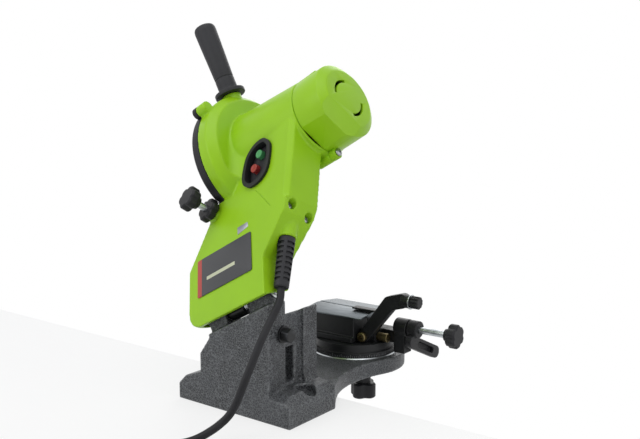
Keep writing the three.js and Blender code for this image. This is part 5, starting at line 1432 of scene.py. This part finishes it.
# %% Spindle
def hexagon(name, radius, low, high, matrix, shank=None, bore=None):
    """A hexagon nut or bolt head whose corners are turned off at both ends."""
    body = prism(name, arc(0, 0, radius, 0, 300, 5), low, high, matrix)
    cone = lathe("cone", [(0, low - 0.02), (radius * 0.9, low - 0.02), (radius * 1.02, low + radius * 0.1),
                          (radius * 1.02, high - radius * 0.1), (radius * 0.9, high + 0.02), (0, high + 0.02)],
                 matrix, 96, 0)
    carve(body, cone, how="INTERSECT")
    if shank:
        carve(body, lathe("shank", [(0, shank[1]), (shank[0], shank[1]), (shank[0], low + 1), (0, low + 1)], matrix,
                          48, 0), how="UNION")
    if bore:
        carve(body, lathe("bore", [(0, low - 1), (bore, low - 1), (bore, high + 1), (0, high + 1)], matrix, 48, 0))
    return smooth_faces(body, 25.0)


SHAFT_RADIUS, SHAFT_BORE = 6.0, 6.3
WHEEL = [(11.1, -9.5), (72.5, -9.5), (72.5, -7.1), (71.7, -6.3), (11.1, -6.3), (11.1, -9.5)]
fit(lathe("wheel_disc", WHEEL, MOTOR, 200, 0.3), "spindle", "abrasive", "grit", "grinding_wheel")
OUTER_FLANGE = [(SHAFT_BORE, -13.2), (16.5, -13.2), (20.0, -11.4), (20.0, -9.8), (SHAFT_BORE, -9.8),
                (SHAFT_BORE, -13.2)]
fit(lathe("clamp_flange", OUTER_FLANGE, MOTOR, 96, 0.4), "spindle", "steel", "steel", "outer_flange")
fit(hexagon("spindle_nut", 9.5, -19.5, -13.5, MOTOR, bore=SHAFT_BORE), "spindle", "steel", "zinc", "wheel_nut")
fit(rod("spindle_shaft", SHAFT_RADIUS, -24.0, 129.0, MOTOR), "spindle", "steel", "steel", "motor_shaft")
print("spindle pieces", made[-4:])

# %% [markdown]
# On the column sit a hexagon bolt with its washer, and the slanted hinge pin with a head and a clip. They
# are turned parts, and the two hexagons here and on the spindle come from the same helper.

# %% Column hardware
bolt_line = place(ORIGIN, 0, -15.5, 89.7, "x")
fit(hexagon("column_bolt", 7.5, 55.1, 64.1, bolt_line, shank=(4.0, 43.5)), "base", "black_steel", "casting",
    "side_bolt")
washer = [(4.3, 52.8), (9.0, 52.8), (9.0, 54.8), (4.3, 54.8), (4.3, 52.8)]
fit(lathe("column_washer", washer, bolt_line, 64, 0.4), "base", "black_steel", "casting", "side_bolt_washer")
PIN = [(0, -59.8), (6.8, -59.8), (8.0, -58.6), (8.0, -56.3), (5.0, -56.3), (5.0, 41.0), (4.2, 41.8), (0, 41.8)]
fit(lathe("hinge_axle", PIN, hinge_axis, 64, 0.4), "base", "steel", "steel", "hinge_pin")
clip = [(5.3, 38.8), (8.0, 38.8), (8.0, 40.4), (5.3, 40.4), (5.3, 38.8)]
fit(lathe("axle_clip", clip, hinge_axis, 64, 0.3), "base", "steel", "zinc", "hinge_clip")
fit(rod("turning_stud", 6.0, 9.0, 40.0, VISE), "base", "steel", "steel", "pivot_stud")
print("column pieces", made[-5:])

# %% [markdown]
# The vise turns on a round table whose rim carries an angle scale. The scale is a row of raised strokes
# that a tree repeats round the rim, longer at every fifth, with the numbers left off.

# %% Tree: strokes of a scale
def scale_tree():
    tree, start, end = new_tree("RimStrokes", ("Strokes", COUNT, 41), ("Radius", FLOAT, 0.052),
                                ("Spacing", FLOAT, 0.04363), ("First", FLOAT, 0.0), ("Width", FLOAT, 0.0004),
                                ("Height", FLOAT, 0.003), ("Bottom", FLOAT, 0.028))
    places = add(tree, "GeometryNodeMeshLine", {"Count": start["Strokes"], "Offset": (0, 0, 0)}).outputs[0]
    index = add(tree, "GeometryNodeInputIndex").outputs[0]
    angle = maths(tree, "MULTIPLY_ADD", index, start["Spacing"], start["First"])
    major = maths(tree, "COMPARE", maths(tree, "MODULO", index, 5.0), 0.0, 0.5)
    tall = maths(tree, "MULTIPLY_ADD", major, 0.6, 1.0)
    level = maths(tree, "MULTIPLY_ADD", maths(tree, "MULTIPLY", tall, 0.5), start["Height"], start["Bottom"])
    at = add(tree, "ShaderNodeCombineXYZ", {
        "X": maths(tree, "MULTIPLY", maths(tree, "COSINE", angle), start["Radius"]),
        "Y": maths(tree, "MULTIPLY", maths(tree, "SINE", angle), start["Radius"]), "Z": level}).outputs[0]
    spaced = add(tree, "GeometryNodeSetPosition", {"Geometry": places, "Position": at}).outputs[0]
    stroke = add(tree, "GeometryNodeMeshCube", {"Size": add(tree, "ShaderNodeCombineXYZ", {
        "X": 0.0006, "Y": start["Width"], "Z": start["Height"]}).outputs[0]}).outputs["Mesh"]
    turn = add(tree, "ShaderNodeCombineXYZ", {"Z": angle}).outputs[0]
    size = add(tree, "ShaderNodeCombineXYZ", {"X": 1.0, "Y": 1.0, "Z": tall}).outputs[0]
    copies = add(tree, "GeometryNodeInstanceOnPoints", {"Points": spaced, "Instance": stroke, "Rotation": turn,
                                                        "Scale": size}).outputs[0]
    return finish_tree(tree, start, end, copies)


STROKES = scale_tree()
print("tree", STROKES.name)

# %% [markdown]
# The table is turned, with two blind bores from below: one for the stud it turns on, one for the bolt that
# locks it. A thin bright ring under its rim is the washer it slides on, and the strokes ride with it.

# %% Turntable and its lock
LOCK = place(VISE, 0, 20.0)
TABLE = [(0, 26.3), (52.0, 26.3), (52.0, 33.0), (49.0, 33.0), (49.0, 42.0), (0, 42.0)]
table = lathe("vise_table", TABLE, VISE, 200, 0.6)
carve(table, lathe("hole", [(0, 20.0), (6.3, 20.0), (6.3, 40.3), (0, 40.3)], VISE, 64, 0),
      lathe("hole", [(0, 20.0), (4.8, 20.0), (4.8, 38.3), (0, 38.3)], LOCK, 48, 0))
fit(smooth_faces(table), "turntable", "black_steel", "casting", "turntable_disc")
strokes = grown(STROKES, "rim_strokes", "stroke", Strokes=41, Radius=0.05185, Spacing=math.radians(2.5),
                First=math.radians(-110.0), Width=0.0004, Height=0.0022, Bottom=0.0280)
fit(set_down(strokes, VISE), "turntable", "label_film", "stroke")
ring = [(49.0, 26.03), (53.2, 26.03), (52.1, 27.1), (52.1, 26.27), (49.0, 26.27), (49.0, 26.03)]
fit(lathe("table_washer", ring, VISE, 200, 0), "turntable", "zinc", "zinc")
fit(rod("lock_bolt", 4.5, -40.0, 38.0, LOCK), "turntable", "zinc", "zinc", "lock_stud")
fit(knob("table_lock", -42.0, -23.0, 17.0, LOCK, (4.8, -40.3), (9.5, 7.7), lobes=4, dip=4.2, sharpness=1.6),
    "turntable_lock", "black_plastic", "black", "turntable_lock_knob")
print("scale faces", len(strokes.data.polygons))

# %% [markdown]
# The vise has a fixed and a moving side, both black castings with ground steel rails on top that hold the
# chain between them. The body is a softened copy of its node, with a finer skin on its round lug. The jaw
# and the rails are milled, so their copies only get eased edges.

# %% Vise body, jaw and rails
SCREW_HEIGHT = 63.0
LUG = [(9.0, 62.0), (10.53, 62.0), (10.53, 79.0), (9.0, 79.0), (9.0, 62.0)]
screw_line = place(VISE, 0, 0, SCREW_HEIGHT, "x")
lug_ring = lathe("lug_ring", LUG, screw_line, 96, 0)
lug_side = carve(lug_ring, block("room", (61, -8, 33), (77, 8, SCREW_HEIGHT), VISE))
vise_casting = moulded("vise_body", "vise_casting", VISE, voxel=0.6, smoothing=4, skins=[lug_side], keep=0.35)
fit(vise_casting, "turntable", "black_steel", "casting", "vise_body")
fit(milled("moving_jaw", "jaw_casting", 0.9), "jaw", "black_steel", "casting", "moving_jaw")
fit(milled("rear_rail", "rail_rear", 0.35), "turntable", "zinc", "rail", "rear_rail")
fit(milled("front_rail", "rail_front", 0.35), "jaw", "zinc", "rail", "front_rail")
print("vise pieces", made[-4:])

# %% [markdown]
# The chain stop's arm, the clamp lever and its hub are small castings with round bosses. They are put
# together from prisms and turned parts at full roundness and then softened as one piece.

# %% Stop arm
def capsule(p, q, half_p, half_q, steps=32):
    """An outline round two circles of given radii, in the plane of its two coordinates."""
    heading = math.degrees(math.atan2(q[1] - p[1], q[0] - p[0]))
    reach = math.hypot(q[0] - p[0], q[1] - p[1])
    lean = math.degrees(math.asin((half_p - half_q) / reach))
    return (arc(*q, half_q, heading - 90 + lean, heading + 90 - lean, steps)
            + arc(*p, half_p, heading + 90 - lean, heading + 270 + lean, steps))


PIVOT_X, PIVOT_HEIGHT = 29, 49.6
UPRIGHT = place(VISE) @ Matrix.Rotation(math.pi / 2, 4, "X")
pivot_line = place(VISE, PIVOT_X, 0, PIVOT_HEIGHT, "y")
stop_line = place(VISE, 0, -19.3, 100.0, "x")
stop = prism("chain_stop_arm", capsule((PIVOT_X, PIVOT_HEIGHT), (65, 95), 7.0, 8.5), 14.4, 24.3, UPRIGHT)
carve(stop, prism("reach", capsule((65, 95), (82, 100), 8.5, 8.5), 14.4, 24.3, UPRIGHT), how="UNION")
carve(stop, lathe("boss", [(0, 82.0), (7.8, 82.0), (7.8, 91.5), (0, 91.5)], stop_line, 96, 0), how="UNION")
carve(stop, lathe("bore", [(0, 80.0), (3.4, 80.0), (3.4, 93.0), (0, 93.0)], stop_line, 48, 0),
      lathe("bore", [(0, -26.0), (4.3, -26.0), (4.3, -12.0), (0, -12.0)], pivot_line, 48, 0))
softened(stop, VISE, voxel=0.5, smoothing=5, keep=0.4)
fit(stop, "chain_stop", "black_steel", "casting", "stop_arm")
fit(milled("stop_tongue", "stop_blade", 0.4), "chain_stop", "black_steel", "casting", "stop_tongue")
print("stop arm faces", len(stop.data.polygons))

# %% [markdown]
# The stop swings on a brass pin with a hexagon socket, beside a plain brass bush. A thumb screw with ten
# shallow lobes holds the stop, and a washer sits under its head.

# %% Stop pin, bush and thumb screw
PIVOT = [(0, -29.2), (4.9, -29.2), (6.0, -28.2), (6.0, -24.6), (4.0, -24.6), (4.0, -7.6), (3.4, -7.0),
         (0, -7.0)]
pivot_pin = lathe("stop_pivot", PIVOT, pivot_line, 64, 0.3)
carve(pivot_pin, prism("socket", arc(0, 0, 2.6, 0, 300, 5), -30.0, -26.8, pivot_line))
fit(pivot_pin, "turntable", "brass", "brass", "stop_pivot_pin")
BUSH = [(0, 40.6), (4.7, 40.6), (5.4, 41.3), (5.4, 54.4), (4.8, 55.0), (0, 55.0)]
bush = lathe("stop_bush", BUSH, place(VISE, 0, -8.2, 48.5, "x"), 64, 0.2)
fit(bush, "turntable", "brass", "brass", "brass_bush")
THUMB = [(0, 81.0), (2.6, 81.0), (3.0, 81.4), (3.0, 93.2), (4.0, 93.2), (5.2, 93.2), (6.4, 93.3), (7.4, 94.2),
         (7.4, 103.0), (6.6, 103.8), (5.2, 104.0), (3.0, 104.0), (0, 104.0)]
thumb = grown(LOBES, "thumb_screw", "black", lathe("thumb_head", THUMB, ORIGIN, 160, 0.2), Lobes=10.0, Depth=0.0011,
              Sharpness=1.5, Inner_Radius=0.0055, Outer_Radius=0.0072)
fit(set_down(thumb, stop_line), "chain_stop_screw", "black_plastic", "black", "stop_thumb_screw")
fit(lathe("thumb_washer", [(3.3, 91.7), (8.6, 91.7), (8.6, 92.9), (3.3, 92.9), (3.3, 91.7)], stop_line, 64, 0.25),
    "chain_stop_screw", "zinc", "zinc", "stop_washer")
print("stop pieces", made[-4:])

# %% [markdown]
# The clamp lever is one black casting: a round hub on the adjusting screw's line and a flat paddle that
# ends lower in front. A long blind window makes the paddle lighter, as on the real one.

# %% Clamp lever
HUB = [(0, 80.0), (9.4, 80.0), (10.2, 80.8), (10.2, 92.2), (9.4, 93.0), (0, 93.0)]
PADDLE_BACK, PADDLE_FRONT = Vector((-9, 50)), Vector((44, 26))
ACROSS = VISE @ Matrix(((0, 0, 1, 0), (1, 0, 0, 0), (0, 1, 0, 0), (0, 0, 0, 1)))
lever = lathe("clamp_handle", HUB, screw_line, 96, 0.2)
paddle = prism("paddle", capsule(PADDLE_BACK, PADDLE_FRONT, 7.5, 7.5), 83.0, 90.5, ACROSS)
heading = (PADDLE_FRONT - PADDLE_BACK).normalized()
window = [PADDLE_BACK + heading * share for share in (14, 47)]
carve(paddle, prism("window", capsule(*window, 3.6, 3.6), 85.0, 92.0, ACROSS))
carve(lever, paddle, how="UNION")
carve(lever, lathe("bore", [(0, 78.0), (4.3, 78.0), (4.3, 95.0), (0, 95.0)], screw_line, 64, 0))
softened(lever, VISE, voxel=0.5, smoothing=4, keep=0.4)
fit(lever, "lever", "black_plastic", "black", "clamp_lever")
print("lever faces", len(lever.data.polygons))

# %% [markdown]
# The adjusting screw is a plated rod with the same star knob as the depth stop. Its knob faces the other
# way, so the same profile is turned half round.

# %% Adjusting screw
fit(rod("adjusting_shaft", ROD_RADIUS, 58.0, 131.0, screw_line), "adjuster", "zinc", "zinc", "adjust_rod")
knob_line = place(VISE, 144.0, 0, SCREW_HEIGHT, "x") @ Matrix.Rotation(math.pi, 4, "X")
fit(knob("adjusting_star", 0.0, 12.0, STAR_RADIUS, knob_line, (ROD_BORE, 12.7), hub=(7.0, 17.0)),
    "adjuster_knob", "black_plastic", "black", "adjust_knob")
print("vise pieces", made[-2:])

# %% [markdown]
# The motor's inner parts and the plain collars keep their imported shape, because nothing shows of them
# except through the slots. They only get the finishes of turned steel, copper and brass.

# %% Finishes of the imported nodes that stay
KEPT = {
    "steel": ("front_bearing", "rear_bearing", "stator_core", "inner_flange"),
    "copper": ("rotor_core", "commutator"),
    "black": ("cooling_fan",),
    "brass": ("brush_holder_1", "brush_holder_2"),
}
for paint, nodes in KEPT.items():
    for node in nodes:
        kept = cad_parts[node]
        if not kept.material_slots:
            kept.data.materials.append(PAINT[paint])
        for held in kept.material_slots:
            held.material = PAINT[paint]
print("kept nodes", sum(len(nodes) for nodes in KEPT.values()))

# %% [markdown]
# At the end the script prints how many pieces it made.

# %% Count of pieces
print("pieces made", len(made))
